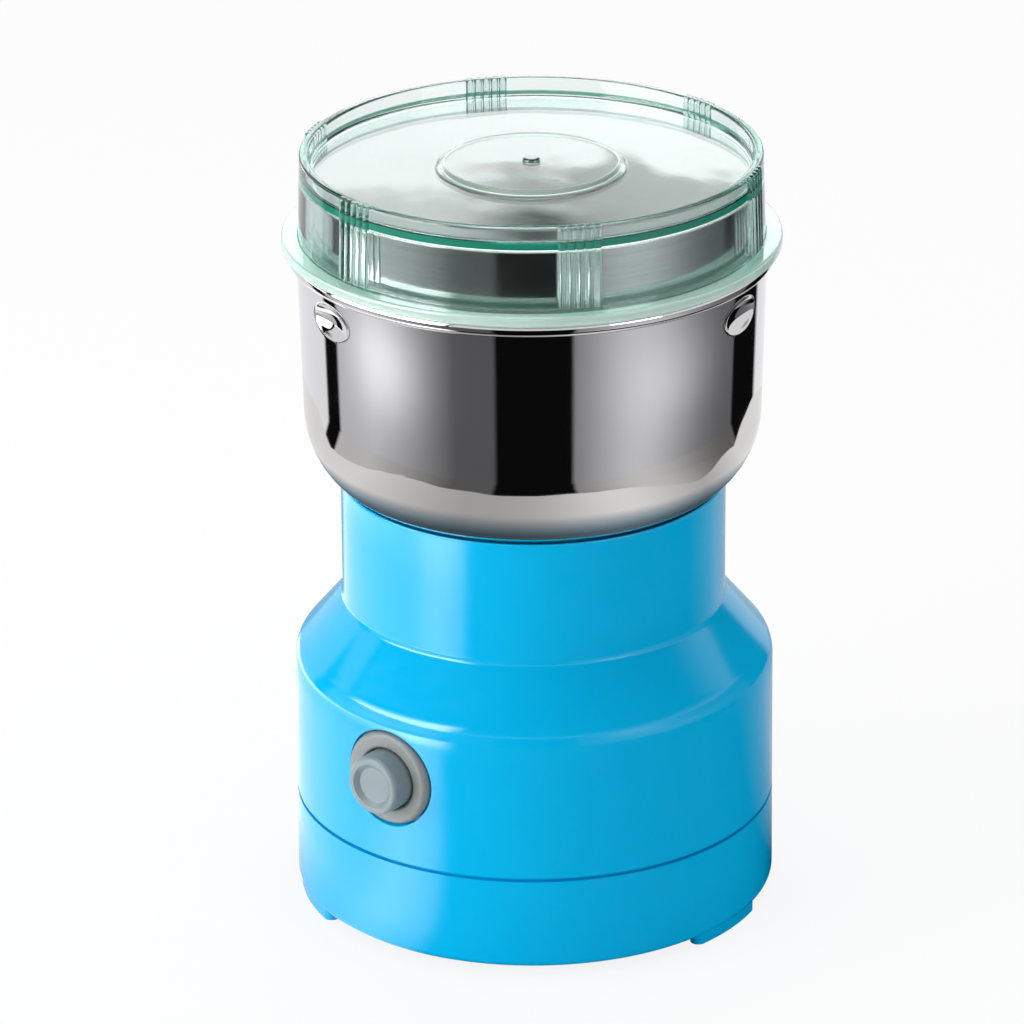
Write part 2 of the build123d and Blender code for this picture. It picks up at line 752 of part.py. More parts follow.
def make_bearing(z_low, length):
    """A sintered bronze bush with bevelled mouths."""
    bore = SHAFT_RADIUS + RUNNING_CLEARANCE
    return turned(
        [
            (bore + BEARING_BEVEL, z_low, 0),
            (BEARING_RADIUS, z_low, 0),
            (BEARING_RADIUS, z_low + length, 0),
            (bore + BEARING_BEVEL, z_low + length, 0),
            (bore, z_low + length - BEARING_BEVEL, 0),
            (bore, z_low + BEARING_BEVEL, 0),
        ]
    )


# ------------------------------------------------------------------- the stator
def post_places():
    """The four corner posts that join stack and brackets."""
    x = STATOR_WIDTH / 2 - POST_INSET_X
    y = STATOR_DEPTH / 2 - POST_INSET_Y
    return [Pos(sx * x, sy * y) for sx in (-1, 1) for sy in (-1, 1)]


def post_circle():
    """How far the posts stand from the shaft."""
    place = post_places()[0].position
    return hypot(place.X, place.Y)


def make_stator_core():
    """The laminated two-pole stack with its pole shoes left and right."""
    bore = ARMATURE_RADIUS + ARMATURE_GAP
    window = Rectangle(STATOR_WIDTH - 2 * YOKE_THICKNESS, STATOR_DEPTH - 2 * YOKE_THICKNESS)
    plate = RectangleRounded(STATOR_WIDTH, STATOR_DEPTH, STATOR_CORNER) - window
    far = STATOR_WIDTH
    half = far * tan(radians(POLE_SPREAD))
    wedge = make_face(Polyline((0, 0), (far, half), (far, -half), close=True))
    wedges = wedge + Rot(0, 0, 180) * wedge
    shoe = (Circle(bore + POLE_SHOE) - Circle(bore)) & wedges
    neck = Rectangle(STATOR_WIDTH - YOKE_THICKNESS, POLE_WIDTH) - Circle(bore)
    plate = plate + neck + shoe
    plate -= [place * Circle(MOTOR_SCREW_RADIUS + MOTOR_SCREW_CLEARANCE) for place in post_places()]
    return Pos(0, 0, stack_z) * extrude(plate, STACK_HEIGHT)


def make_field_coil(side):
    """One field coil, a wound ring round its pole."""
    bore = ARMATURE_RADIUS + ARMATURE_GAP
    x_low = bore + POLE_SHOE + COIL_CLEARANCE
    x_high = STATOR_WIDTH / 2 - YOKE_THICKNESS - COIL_CLEARANCE
    eye_y = POLE_WIDTH + 2 * COIL_CLEARANCE
    eye_z = STACK_HEIGHT + 2 * COIL_CLEARANCE
    outer = RectangleRounded(
        eye_y + 2 * COIL_THICKNESS, eye_z + 2 * COIL_THICKNESS, COIL_ROUND + COIL_THICKNESS / 2
    )
    band = outer - RectangleRounded(eye_y, eye_z, COIL_CLEARANCE)
    start = Plane((x_low, 0, stack_z + STACK_HEIGHT / 2), x_dir=(0, 1, 0), z_dir=(1, 0, 0))
    coil = extrude(start * band, x_high - x_low)
    return coil if side > 0 else Rot(0, 0, 180) * coil


# ------------------------------------------------------------------ the rotor
def slot_outline(inset):
    """One winding slot's cross-section, pointing out along +X."""
    outer = ARMATURE_RADIUS - SLOT_LIP - inset
    root = ARMATURE_RADIUS - SLOT_LIP - SLOT_DEPTH + inset
    top_half = SLOT_TOP_WIDTH / 2 - inset
    root_half = SLOT_ROOT_WIDTH / 2 - inset
    return make_face(
        Polyline((root, -root_half), (outer, -top_half), (outer, top_half), (root, root_half), close=True)
    )


def make_armature_core():
    """The slotted laminated core of the rotor."""
    plate = Circle(ARMATURE_RADIUS) - Circle(SHAFT_RADIUS)
    mouth = Pos(ARMATURE_RADIUS - SLOT_LIP, 0) * Rectangle(4 * SLOT_LIP, SLOT_OPENING)
    slot = slot_outline(0.0) + mouth
    plate -= [Rot(0, 0, azimuth) * slot for azimuth in azimuths(ARMATURE_SLOTS, 0.0)]
    return Pos(0, 0, stack_z) * extrude(plate, STACK_HEIGHT)


def make_armature_winding():
    """The copper winding: a bundle in every slot, joined by the heads at both ends."""
    inner = SHAFT_RADIUS + WINDING_INSET
    root = ARMATURE_RADIUS - SLOT_LIP - SLOT_DEPTH
    head = turned(
        [
            (inner, stack_top_z, 0),
            (WINDING_RADIUS, stack_top_z, 0),
            (WINDING_RADIUS, stack_top_z + WINDING_OVERHANG / 2, 0),
            (root + overlap, stack_top_z + WINDING_OVERHANG, 0),
            (root - overlap, stack_top_z + WINDING_OVERHANG, 0),
            (inner, stack_top_z + WINDING_OVERHANG / 2, 0),
        ]
    )
    tail = mirror(head, about=Plane.XY.offset(stack_z + STACK_HEIGHT / 2))
    bundle = Pos(0, 0, stack_z - overlap) * extrude(slot_outline(SLOT_LINER), STACK_HEIGHT + 2 * overlap)
    bundles = [Rot(0, 0, azimuth) * bundle for azimuth in azimuths(ARMATURE_SLOTS, 0.0)]
    return head + tail + bundles


def make_commutator():
    """The copper bars with their risers, slit from each other."""
    body = turned(
        [
            (SHAFT_RADIUS, commutator_z, 0),
            (COMMUTATOR_RADIUS, commutator_z, 0),
            (COMMUTATOR_RADIUS, commutator_top_z - RISER_HEIGHT, 0),
            (COMMUTATOR_RADIUS + RISER_PROUD, commutator_top_z - RISER_HEIGHT, 0),
            (COMMUTATOR_RADIUS + RISER_PROUD, commutator_top_z, 0),
            (SHAFT_RADIUS, commutator_top_z, 0),
        ]
    )
    middle = commutator_z + COMMUTATOR_HEIGHT / 2
    reach = COMMUTATOR_SLIT_DEPTH + RISER_PROUD + overlap
    slit = Pos(COMMUTATOR_RADIUS - COMMUTATOR_SLIT_DEPTH + reach / 2, 0, middle) * Box(
        reach, COMMUTATOR_SLIT, COMMUTATOR_HEIGHT + overlap
    )
    return body - [Rot(0, 0, azimuth) * slit for azimuth in azimuths(COMMUTATOR_BARS, 0.0)]


def flatted(radius, z_low, z_high):
    """A round bar with two flats, which keys the blade to the shaft."""
    section = Circle(radius) & Rectangle(2 * FLAT_HALF, 4 * radius)
    return Pos(0, 0, z_low) * extrude(section, z_high - z_low)


def stud_radius():
    """The stud is no wider than the flats, so that blade and washers slip over it."""
    return min(STUD_RADIUS, FLAT_HALF)


def make_shaft():
    """The motor shaft with its keyed blade seat and threaded stud."""
    shaft = disc(SHAFT_RADIUS, shaft_z, shoulder_z_of_blade)
    shaft += flatted(SHAFT_RADIUS, shoulder_z_of_blade, blade_nut_z)
    return shaft + disc(stud_radius(), blade_nut_z, stud_top_z)


def make_fan():
    """The moulded cooling fan: hub, back plate and swept blades."""
    fan_radius = post_circle() - POST_RADIUS - FAN_CLEARANCE
    hub = ring(FAN_HUB_RADIUS, SHAFT_RADIUS, fan_z, fan_top_z)
    plate = ring(fan_radius, FAN_HUB_RADIUS - overlap, fan_top_z - FAN_PLATE, fan_top_z)
    turn = radians(FAN_SWEEP_TURN)
    tip = (fan_radius * cos(turn), fan_radius * sin(turn))
    curve = RadiusArc((FAN_HUB_RADIUS - overlap / 2, 0), tip, FAN_SWEEP_RADIUS)
    outline = offset(curve, FAN_BLADE_THICKNESS / 2, side=Side.BOTH)
    blade = Pos(0, 0, fan_z) * extrude(make_face(outline), FAN_HEIGHT - FAN_PLATE / 2)
    blades = [Rot(0, 0, azimuth) * blade for azimuth in azimuths(FAN_BLADES, 0.0)]
    trim = disc(fan_radius, fan_z - overlap, fan_top_z + overlap)
    return hub + plate + [one & trim for one in blades]


def make_thrust_washers():
    """The fibre washers that take the rotor's end play."""
    low_ends = (fan_top_z + END_FLOAT, commutator_z - END_FLOAT - THRUST_THICKNESS)
    return [ring(THRUST_RADIUS, SHAFT_RADIUS, z, z + THRUST_THICKNESS) for z in low_ends]


# --------------------------------------------------------------- motor brackets
def make_upper_bracket():
    """The upper end bell: four arms on corner posts round a clamped centre."""
    centre = disc(DAMPER_RADIUS, bracket_z, bracket_top_z)
    x, y = post_places()[3].position.X, post_places()[3].position.Y
    angle = degrees(atan2(y, x))
    arm = Pos(0, 0, bracket_z) * extrude(Rectangle(2 * post_circle(), 2 * POST_RADIUS), BRACKET_THICKNESS)
    body = centre + [Rot(0, 0, turn) * arm for turn in (angle, -angle)]
    body += [place * disc(POST_RADIUS, stack_top_z, bracket_top_z) for place in post_places()]
    pilots = [
        place * disc(MOTOR_SCREW_RADIUS + PILOT_CLEARANCE, stack_top_z - overlap, bracket_z)
        for place in screw_posts()
    ]
    return body - disc(HUB_RADIUS + HUB_CLEARANCE, bracket_z - overlap, bracket_top_z + overlap) - pilots


def screw_posts():
    """The two opposite posts that the long motor screws pass through."""
    places = post_places()
    return [places[0], places[3]]


def holder_size():
    """The outside width of a brush holder."""
    return BRUSH_WIDTH + 2 * BRUSH_CLEARANCE + 2 * HOLDER_WALL


def holder_length():
    """A holder takes the brush, its spring and a closed end."""
    start = COMMUTATOR_RADIUS + RUNNING_CLEARANCE
    return start + BRUSH_LENGTH + SPRING_LENGTH + HOLDER_WALL - HOLDER_START


def make_lower_bracket():
    """The lower end bell, with the bearing cup and the two brush cradles."""
    plate_top = lower_bearing_z + BRACKET_THICKNESS
    cup_radius = BEARING_RADIUS + BEARING_WALL
    body = disc(cup_radius, lower_bearing_z, lower_bearing_top_z)
    x, y = post_places()[3].position.X, post_places()[3].position.Y
    angle = degrees(atan2(y, x))
    low = Pos(0, 0, lower_bearing_z)
    arm = low * extrude(Rectangle(2 * post_circle(), 2 * POST_RADIUS), BRACKET_THICKNESS)
    body += [Rot(0, 0, turn) * arm for turn in (angle, -angle)]
    body += [place * disc(POST_RADIUS, lower_bearing_z, stack_z) for place in post_places()]
    reach = HOLDER_START + holder_length()
    body += low * extrude(Rectangle(holder_size(), 2 * reach), BRACKET_THICKNESS)
    cradle_z = brush_z - holder_size() / 2
    cradle_y = HOLDER_START + holder_length() / 2
    footprint = Rectangle(holder_size(), holder_length() - 2 * overlap)
    cradle = extrude(footprint, cradle_z - plate_top + overlap)
    body += [Pos(0, sy * cradle_y, plate_top - overlap) * cradle for sy in (-1, 1)]
    body -= disc(BEARING_RADIUS, lower_bearing_z - overlap, lower_bearing_top_z + overlap)
    hole = disc(
        MOTOR_SCREW_RADIUS + MOTOR_SCREW_CLEARANCE, lower_bearing_z - overlap, stack_z + overlap
    )
    return body - [place * hole for place in screw_posts()]


def make_motor_screws():
    """The two long screws that hold bracket, stack and bracket together."""
    screw = turned(
        [
            (0, lower_bearing_z - MOTOR_SCREW_HEAD_HEIGHT, 0),
            (MOTOR_SCREW_HEAD_RADIUS, lower_bearing_z - MOTOR_SCREW_HEAD_HEIGHT, 0),
            (MOTOR_SCREW_HEAD_RADIUS, lower_bearing_z, 0),
            (MOTOR_SCREW_RADIUS, lower_bearing_z, 0),
            (MOTOR_SCREW_RADIUS, stack_top_z + SCREW_GRIP, 0),
            (0, stack_top_z + SCREW_GRIP, 0),
        ]
    )
    return [place * screw for place in screw_posts()]


# ------------------------------------------------------------------ the brushes
def to_side(shape, side):
    """A brush part is made at the front and turned round for the rear."""
    return shape if side < 0 else Rot(0, 0, 180) * shape


def make_brush_holder(side):
    """A folded brass box, closed at its outer end."""
    size = holder_size()
    inside = size - 2 * HOLDER_WALL
    length = holder_length()
    centre_y = -HOLDER_START - length / 2
    box = Pos(0, centre_y, brush_z) * Box(size, length, size)
    bore = Pos(0, centre_y + HOLDER_WALL, brush_z) * Box(inside, length, inside)
    return to_side(box - bore, side)


def make_carbon_brush(side):
    """The carbon block that rubs on the commutator."""
    start = COMMUTATOR_RADIUS + RUNNING_CLEARANCE
    length = BRUSH_LENGTH + overlap
    block = Pos(0, -start - BRUSH_LENGTH + length / 2, brush_z) * Box(BRUSH_WIDTH, length, BRUSH_WIDTH)
    return to_side(block - disc(start, commutator_z, commutator_top_z), side)


def make_brush_spring(side):
    """The coil spring that presses the brush inwards."""
    start = COMMUTATOR_RADIUS + RUNNING_CLEARANCE + BRUSH_LENGTH + SPRING_WIRE / 2
    length = SPRING_LENGTH - SPRING_WIRE
    path = Helix(length / SPRING_TURNS, length, SPRING_RADIUS)
    section = Plane(path @ 0, z_dir=path % 0) * Rectangle(SPRING_WIRE, SPRING_WIRE)
    coil = sweep(section, path=path, is_frenet=True)
    return to_side(Pos(0, -start, brush_z) * Rot(90, 0, 0) * coil, side)


# ------------------------------------------------------------------- the blade
def leaf(rise):
    """One leaf of the blade: a flat root, then a twisting, tapering, bevelled wing."""
    arm_outline = Polyline(
        (0, -BLADE_WIDTH / 2),
        (BLADE_ROOT, -BLADE_WIDTH / 2),
        (BLADE_ROOT, BLADE_WIDTH / 2),
        (0, BLADE_WIDTH / 2),
        close=True,
    )
    arm = extrude(make_face(arm_outline), BLADE_THICKNESS)
    stations = 5
    reach = BLADE_RADIUS - BLADE_ROOT
    sections = []
    for i in range(stations):
        share = i / (stations - 1)
        half = (BLADE_WIDTH + share * (BLADE_TIP_WIDTH - BLADE_WIDTH)) / 2
        bevel = BLADE_BEVEL * min(1.0, 2 * share)
        half_t = BLADE_THICKNESS / 2
        outline = Polyline(
            (-half, -half_t), (half, -half_t), (half - bevel, half_t), (-half, half_t), close=True
        )
        slope = atan2(2 * rise * share, reach)
        place = Plane(
            (BLADE_ROOT + reach * share, 0, half_t + rise * share**2),
            x_dir=(0, 1, 0),
            z_dir=(cos(slope), 0, sin(slope)),
        )
        sections.append(place * Rot(0, 0, -BLADE_TWIST * share) * make_face(outline))
    return arm + loft(sections, ruled=False)


def make_blade():
    """The four-leaf blade: two leaves rise, two dip, all from one pressed plate."""
    plate = disc(BLADE_HUB_RADIUS, 0, BLADE_THICKNESS)
    for quarter, rise in enumerate((BLADE_RISE, -BLADE_DIP, BLADE_RISE, -BLADE_DIP)):
        plate += Rot(0, 0, 90 * quarter) * leaf(rise)
    return Pos(0, 0, blade_z) * (plate - flatted(SHAFT_RADIUS, -overlap, BLADE_THICKNESS + overlap))


def make_blade_washers():
    """The keyed washers under and over the blade."""
    lower = disc(WASHER_RADIUS, shoulder_z_of_blade, blade_z)
    upper = disc(WASHER_RADIUS, blade_top_z, blade_nut_z)
    key = flatted(SHAFT_RADIUS, hub_top_z, stud_top_z)
    return [lower - key, upper - key]


def make_blade_nut():
    """The domed hexagon nut on the shaft's stud."""
    hexagon = RegularPolygon(NUT_FLATS / 2, 6, major_radius=False)
    nut = Pos(0, 0, blade_nut_z) * extrude(hexagon, NUT_HEIGHT)
    crown = turned(
        [
            (0, blade_nut_z, 0),
            (NUT_FLATS / sqrt(3), blade_nut_z, 0),
            (NUT_FLATS / sqrt(3), blade_nut_z + NUT_HEIGHT - NUT_DOME, 0),
            (NUT_FLATS / 2 - NUT_DOME / 2, blade_nut_z + NUT_HEIGHT, 0),
            (0, blade_nut_z + NUT_HEIGHT, 0),
        ]
    )
    bore = stud_radius() + THREAD_CLEARANCE
    stud = disc(bore, blade_nut_z - overlap, stud_top_z + THREAD_CLEARANCE)
    return (nut & crown) - stud


# ------------------------------------------------------------------ the button
def button_levels():
    """Depths along Y: pocket floor, bezel face, cap face, switch front."""
    wall = side_radius(button_z)
    floor = -wall + POCKET_DEPTH
    face = -wall - BEZEL_PROUD
    return floor, face, face - CAP_PROUD, floor + BARREL_LENGTH


def make_button_bezel():
    """The grey collar in the housing's pocket, with the barrel behind it."""
    floor, face, _, back = button_levels()
    bore = CAP_RADIUS + CAP_GAP
    return front_turned(
        [
            (bore, face, 0),
            (BEZEL_RADIUS - BEZEL_BEVEL, face, 0),
            (BEZEL_RADIUS, face + BEZEL_BEVEL, 0),
            (BEZEL_RADIUS, floor, 0),
            (BARREL_RADIUS, floor, 0),
            (BARREL_RADIUS, back, 0),
            (bore, back, 0),
        ],
        button_z,
    )


def make_button_cap():
    """The push cap with its dished face, and the stem that works the switch."""
    _, _, cap_face, _ = button_levels()
    back = cap_face + CAP_DEPTH
    return front_turned(
        [
            (0, cap_face + CAP_DISH_DEPTH, 0),
            (CAP_DISH_FLOOR, cap_face + CAP_DISH_DEPTH, 0),
            (CAP_DISH_RADIUS, cap_face, 0),
            (CAP_RADIUS, cap_face, CAP_ROUND),
            (CAP_RADIUS, back, 0),
            (STEM_RADIUS, back, 0),
            (STEM_RADIUS, back + STEM_LENGTH, 0),
            (0, back + STEM_LENGTH, 0),
        ],
        button_z,
    )


def make_switch_nut():
    """The hexagon lock nut that holds the barrel from inside."""
    floor, _, _, _ = button_levels()
    start = Plane((0, floor + BODY_WALL, button_z), x_dir=(1, 0, 0), z_dir=(0, 1, 0))
    section = RegularPolygon(SWITCH_NUT_FLATS / 2, 6, major_radius=False)
    section -= Circle(BARREL_RADIUS + THREAD_CLEARANCE)
    return extrude(start * section, SWITCH_NUT_THICKNESS)


def make_switch_body():
    """The sealed momentary switch behind the barrel."""
    _, _, cap_face, back = button_levels()
    block = Pos(0, back + SWITCH_DEPTH / 2, button_z) * Box(SWITCH_SIZE, SWITCH_DEPTH, SWITCH_SIZE)
    block = chamfer(block.edges().filter_by(Axis.Y), SWITCH_BEVEL)
    stem_end = cap_face + CAP_DEPTH + STEM_LENGTH + BUTTON_TRAVEL + STEM_END_GAP
    return block - front_bar(STEM_RADIUS + RUNNING_CLEARANCE, back - overlap, stem_end, button_z)


def make_switch_terminals():
    """The two brass tabs on the switch's back."""
    _, _, _, back = button_levels()
    low = back + SWITCH_DEPTH
    high = -STATOR_DEPTH / 2 - TERMINAL_CLEARANCE
    tab = Box(TERMINAL_THICKNESS, high - low, TERMINAL_WIDTH)
    return [Pos(sx * TERMINAL_SPACING / 2, (low + high) / 2, button_z) * tab for sx in (-1, 1)]


# ----------------------------------------------------------------- every node
save("housing", make_housing())
save("base_cover", make_base_cover())
save("base_screws", *make_base_screws())
save("cord_inlet", make_cord_inlet())
save("bowl_shell", make_bowl_shell())
save("bowl", make_bowl())
save("lid", make_lid())
save("bearing_hub", make_hub())
save("hub_nut", make_hub_nut())
save("bowl_gasket", ring(HUB_NUT_RADIUS, HUB_RADIUS + HUB_CLEARANCE, bowl_inside_z, nut_z))
save("motor_damper", ring(DAMPER_RADIUS, HUB_RADIUS + HUB_CLEARANCE, bracket_top_z, deck_z))
save("shaft_seal", make_shaft_seal())
save("upper_bearing", make_bearing(hub_z, UPPER_BEARING_LENGTH))
save("lower_bearing", make_bearing(lower_bearing_z, LOWER_BEARING_LENGTH))
save("upper_bracket", make_upper_bracket())
save("lower_bracket", make_lower_bracket())
save("motor_screws", *make_motor_screws())
save("stator_core", make_stator_core())
save("field_coil_left", make_field_coil(-1))
save("field_coil_right", make_field_coil(1))
save("armature_core", make_armature_core())
save("armature_winding", make_armature_winding())
save("commutator", make_commutator())
save("shaft", make_shaft())
save("cooling_fan", make_fan())
save("thrust_washers", *make_thrust_washers())
for end, side in (("front", -1), ("rear", 1)):
    save(f"brush_holder_{end}", make_brush_holder(side))
    save(f"carbon_brush_{end}", make_carbon_brush(side))
    save(f"brush_spring_{end}", make_brush_spring(side))
save("blade", make_blade())
save("blade_washers", *make_blade_washers())
save("blade_nut", make_blade_nut())
save("button_bezel", make_button_bezel())
save("button_cap", make_button_cap())
save("switch_nut", make_switch_nut())
save("switch_body", make_switch_body())
save("switch_terminals", *make_switch_terminals())
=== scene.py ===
"""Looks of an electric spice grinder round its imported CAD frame.

Metres, +Z up, front with the push button towards -Y. Sizes inside a section are
in millimetres until they become points. An azimuth is in degrees from the front,
positive towards +X, the same as in the part's own source.
"""

import json
from math import cos, pi, radians, sin

import bmesh
import bpy
import numpy as np
from mathutils import Matrix, Vector


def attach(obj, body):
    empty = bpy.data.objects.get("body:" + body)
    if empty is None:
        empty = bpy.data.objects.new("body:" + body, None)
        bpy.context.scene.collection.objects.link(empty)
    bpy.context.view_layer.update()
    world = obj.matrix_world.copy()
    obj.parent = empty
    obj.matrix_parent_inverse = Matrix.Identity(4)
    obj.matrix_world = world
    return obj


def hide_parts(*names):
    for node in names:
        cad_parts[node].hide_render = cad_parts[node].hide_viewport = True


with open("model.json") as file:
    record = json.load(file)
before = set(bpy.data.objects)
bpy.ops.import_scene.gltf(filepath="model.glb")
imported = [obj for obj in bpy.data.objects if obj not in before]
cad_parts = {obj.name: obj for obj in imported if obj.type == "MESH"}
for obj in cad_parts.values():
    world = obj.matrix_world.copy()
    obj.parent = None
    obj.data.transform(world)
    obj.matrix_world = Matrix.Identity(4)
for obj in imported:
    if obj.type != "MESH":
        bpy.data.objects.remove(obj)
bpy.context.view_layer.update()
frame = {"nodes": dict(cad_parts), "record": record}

# ---------------------------------------------------------------------- camera
# A long lens a little over a metre away, looking down on the lid from the right
# of the button, leaned by a fraction of a degree.
camera_azimuth, camera_distance, camera_height = 37.2, 1.244, 0.6021
pitch, aim, roll = radians(22.52), radians(0.214), radians(0.42)
focal_pixels, picture_pixels = 6200, 1024
turn = radians(camera_azimuth)
heading = turn + aim
forward = Vector((-sin(heading) * cos(pitch), cos(heading) * cos(pitch), -sin(pitch)))
level = forward.cross(Vector((0, 0, 1))).normalized()
upright = level.cross(forward)
across = level * cos(roll) - upright * sin(roll)
upwards = upright * cos(roll) + level * sin(roll)
lens = bpy.data.cameras.new("camera")
lens.sensor_width = 36.0
lens.lens = focal_pixels / picture_pixels * lens.sensor_width
camera = bpy.data.objects.new("camera", lens)
camera.matrix_world = Matrix((across, upwards, -forward)).transposed().to_4x4()
camera.location = (camera_distance * sin(turn), -camera_distance * cos(turn), camera_height)
bpy.context.scene.collection.objects.link(camera)
bpy.context.scene.camera = camera
bpy.context.scene.view_settings.view_transform = "Standard"


# ----------------------------------------------------------------------- stage
# A white floor and backdrop, lit by a large soft box overhead and one at each side.
# Glossy surfaces mirror a few cards that nothing else sees: grey panels with dark
# gaps round the front for the polished bowl, a bright window at the left for the
# shoulder and the bead, a painted reflection of the table's edge for the bowl's foot,
# and a strip at the back for the lid's plate.
class Term:
    """A shader socket that takes part in sums: operators add Math or Vector Math nodes."""

    def __init__(self, look, socket):
        self.look, self.socket = look, socket

    def sum(self, operation, *terms):
        """One maths node over the terms, vector maths where any of them is a vector."""
        vector = any(
            t.socket.type in ("VECTOR", "RGBA") if isinstance(t, Term) else isinstance(t, tuple)
            for t in terms
        )
        if vector:
            terms = [(t, t, t) if isinstance(t, (int, float)) else t for t in terms]
        kind = "VectorMath" if vector else "Math"
        return self.look.node(kind, {"operation": operation}, dict(enumerate(terms)))

    def __add__(self, other):
        return self.sum("ADD", self, other)

    def __sub__(self, other):
        return self.sum("SUBTRACT", self, other)

    def __rsub__(self, other):
        return self.sum("SUBTRACT", other, self)

    def __mul__(self, other):
        return self.sum("MULTIPLY", self, other)

    def __truediv__(self, other):
        return self.sum("DIVIDE", self, other)


class Look:
    """A material, or the world, while its nodes are put together."""

    def __init__(self, name, owner=None):
        self.owner = owner or bpy.data.materials.new(name)
        self.owner.use_nodes = True
        self.tree = self.owner.node_tree
        self.tree.nodes.clear()

    def node(self, kind, settings=None, values=None, output=0):
        """Adds a shader node, with its settings and its socket values, and returns one of
        its outputs. A colour is three numbers: red, green and blue."""
        node = self.tree.nodes.new("ShaderNode" + kind)
        for key, value in (settings or {}).items():
            setattr(node, key, value)
        for key, value in (values or {}).items():
            if isinstance(value, Term):
                self.tree.links.new(value.socket, node.inputs[key])
            elif node.inputs[key].type == "RGBA":
                node.inputs[key].default_value = (*value, 1)
            else:
                node.inputs[key].default_value = value
        return Term(self, node.outputs[output])

    def place(self):
        """The point on the object, in metres."""
        return self.node("TexCoord", output="Object")

    def height(self):
        """The height of the point over the table, in metres."""
        return self.node("SeparateXYZ", values={0: self.place()}, output="Z")

    def reach(self):
        """The distance of the point from the Z axis, in metres."""
        flat = {0: self.place() * (1, 1, 0)}
        return self.node("VectorMath", {"operation": "LENGTH"}, flat, output="Value")

    def toward(self, direction):
        """How far the point lies in a direction, in metres."""
        both = {0: self.place(), 1: direction}
        return self.node("VectorMath", {"operation": "DOT_PRODUCT"}, both, output="Value")

    def noise(self, scale, stretch=(1, 1, 1), detail=2.0):
        """Smooth random values round 0.5, with features of about 1/scale metres."""
        where = self.place() * stretch
        return self.node("TexNoise", values={"Vector": where, "Scale": scale, "Detail": detail})

    def spread(self, value, low, high, start=0.3, end=0.7):
        """Takes a value between start and end to low and high."""
        limits = {"Value": value, "From Min": start, "From Max": end, "To Min": low, "To Max": high}
        return self.node("MapRange", values=limits)

    def blend(self, share, first, second):
        """A mix of two colours."""
        return self.node("Mix", {"data_type": "RGBA"}, {0: share, 6: first, 7: second}, output=2)

    def drift(self, scale, first, second, detail=2.0):
        """A colour that drifts from one to another and back over about 1/scale metres."""
        return self.blend(self.spread(self.noise(scale, detail=detail), 0.0, 1.0), first, second)

    def bump(self, height, depth, below=None):
        """A normal from a height between 0 and 1 that is depth metres deep."""
        values = {"Strength": 1.0, "Distance": depth, "Height": height}
        if below:
            values["Normal"] = below
        return self.node("Bump", values=values)

    def for_rays(self, light, mirror, view):
        """One value for light on the object, one for mirror rays, one for camera and glass rays."""
        kinds = ("Is Glossy Ray", "Is Camera Ray", "Is Transmission Ray")
        glossy, seen, glass = [self.node("LightPath", output=kind) for kind in kinds]
        direct = glass.sum("MAXIMUM", seen, glass)
        tone = glossy * (mirror - light) + light
        return direct * (view - tone) + tone

    def peak(self, value, centre, reach):
        """1 at the centre, falling off on both sides like a bell curve."""
        away = (value - centre) / reach
        return self.node("Math", {"operation": "EXPONENT"}, {0: away * away * -1.0})

    def window(self, value, low, high, soft=1.0):
        """1 between two limits and 0 outside them, with soft edges."""
        rise = self.spread(value, 0.0, 1.0, low - soft, low + soft)
        return rise * self.spread(value, 1.0, 0.0, high - soft, high + soft)

    def bearing(self):
        """The azimuth of a point of the stage, in degrees from the camera's own."""
        a = radians(camera_azimuth)
        across, near = self.toward((cos(a), sin(a), 0)), self.toward((sin(a), -cos(a), 0))
        return self.node("Math", {"operation": "ARCTAN2"}, {0: across, 1: near}) * (180 / pi)

    def shade(self, surface, volume=None):
        """Connects a shader to the output and returns the material."""
        kind = "OutputWorld" if isinstance(self.owner, bpy.types.World) else "OutputMaterial"
        node = self.tree.nodes.new("ShaderNode" + kind)
        self.tree.links.new(surface.socket, node.inputs["Surface"])
        if volume:
            self.tree.links.new(volume.socket, node.inputs["Volume"])
        return self.owner

    def solid(self, tint, rough, normal, **others):
        """A finished material with one principled shader, which takes these values."""
        values = {"Base Color": tint, "Roughness": rough, "Normal": normal, **others}
        return self.shade(self.node("BsdfPrincipled", values=values))


def points_mesh(name, patches):
    """A smooth mesh from grids of points. Neighbours in a grid make quads, and points
    less than a micron apart are welded, which closes seams and poles."""
    points = np.concatenate([patch.reshape(-1, 3) for patch in patches])
    micron, offset = 1e-6, 0.2718
    keys = np.floor(points / micron + offset).astype(np.int64)
    _, first, weld = np.unique(keys, axis=0, return_index=True, return_inverse=True)
    weld = weld.reshape(-1)
    start, faces = 0, []
    for patch in patches:
        rows, columns = patch.shape[:2]
        i = weld[start : start + rows * columns].reshape(rows, columns)
        quads = np.stack([i[:-1, :-1], i[1:, :-1], i[1:, 1:], i[:-1, 1:]], -1)
        faces += [list(dict.fromkeys(quad)) for quad in quads.reshape(-1, 4).tolist()]
        start += rows * columns
    mesh = bpy.data.meshes.new(name)
    mesh.from_pydata(points[first].tolist(), [], [face for face in faces if len(face) > 2])
    form = bmesh.new()
    form.from_mesh(mesh)
    bmesh.ops.recalc_face_normals(form, faces=form.faces)
    form.to_mesh(mesh)
    form.free()
    mesh.shade_smooth()
    return mesh


def stage_sheet(name, points, material, unseen=()):
    """A sheet of the stage from one grid of points, left out for the named kinds of rays."""
    sheet = bpy.data.objects.new(name, points_mesh(name, [points]))
    sheet.data.materials.append(material)
    for kind in unseen:
        setattr(sheet, "visible_" + kind, False)
    bpy.context.scene.collection.objects.link(sheet)


mirror_and_glass_only = ("camera", "diffuse", "shadow")
mirror_only = (*mirror_and_glass_only, "transmission")


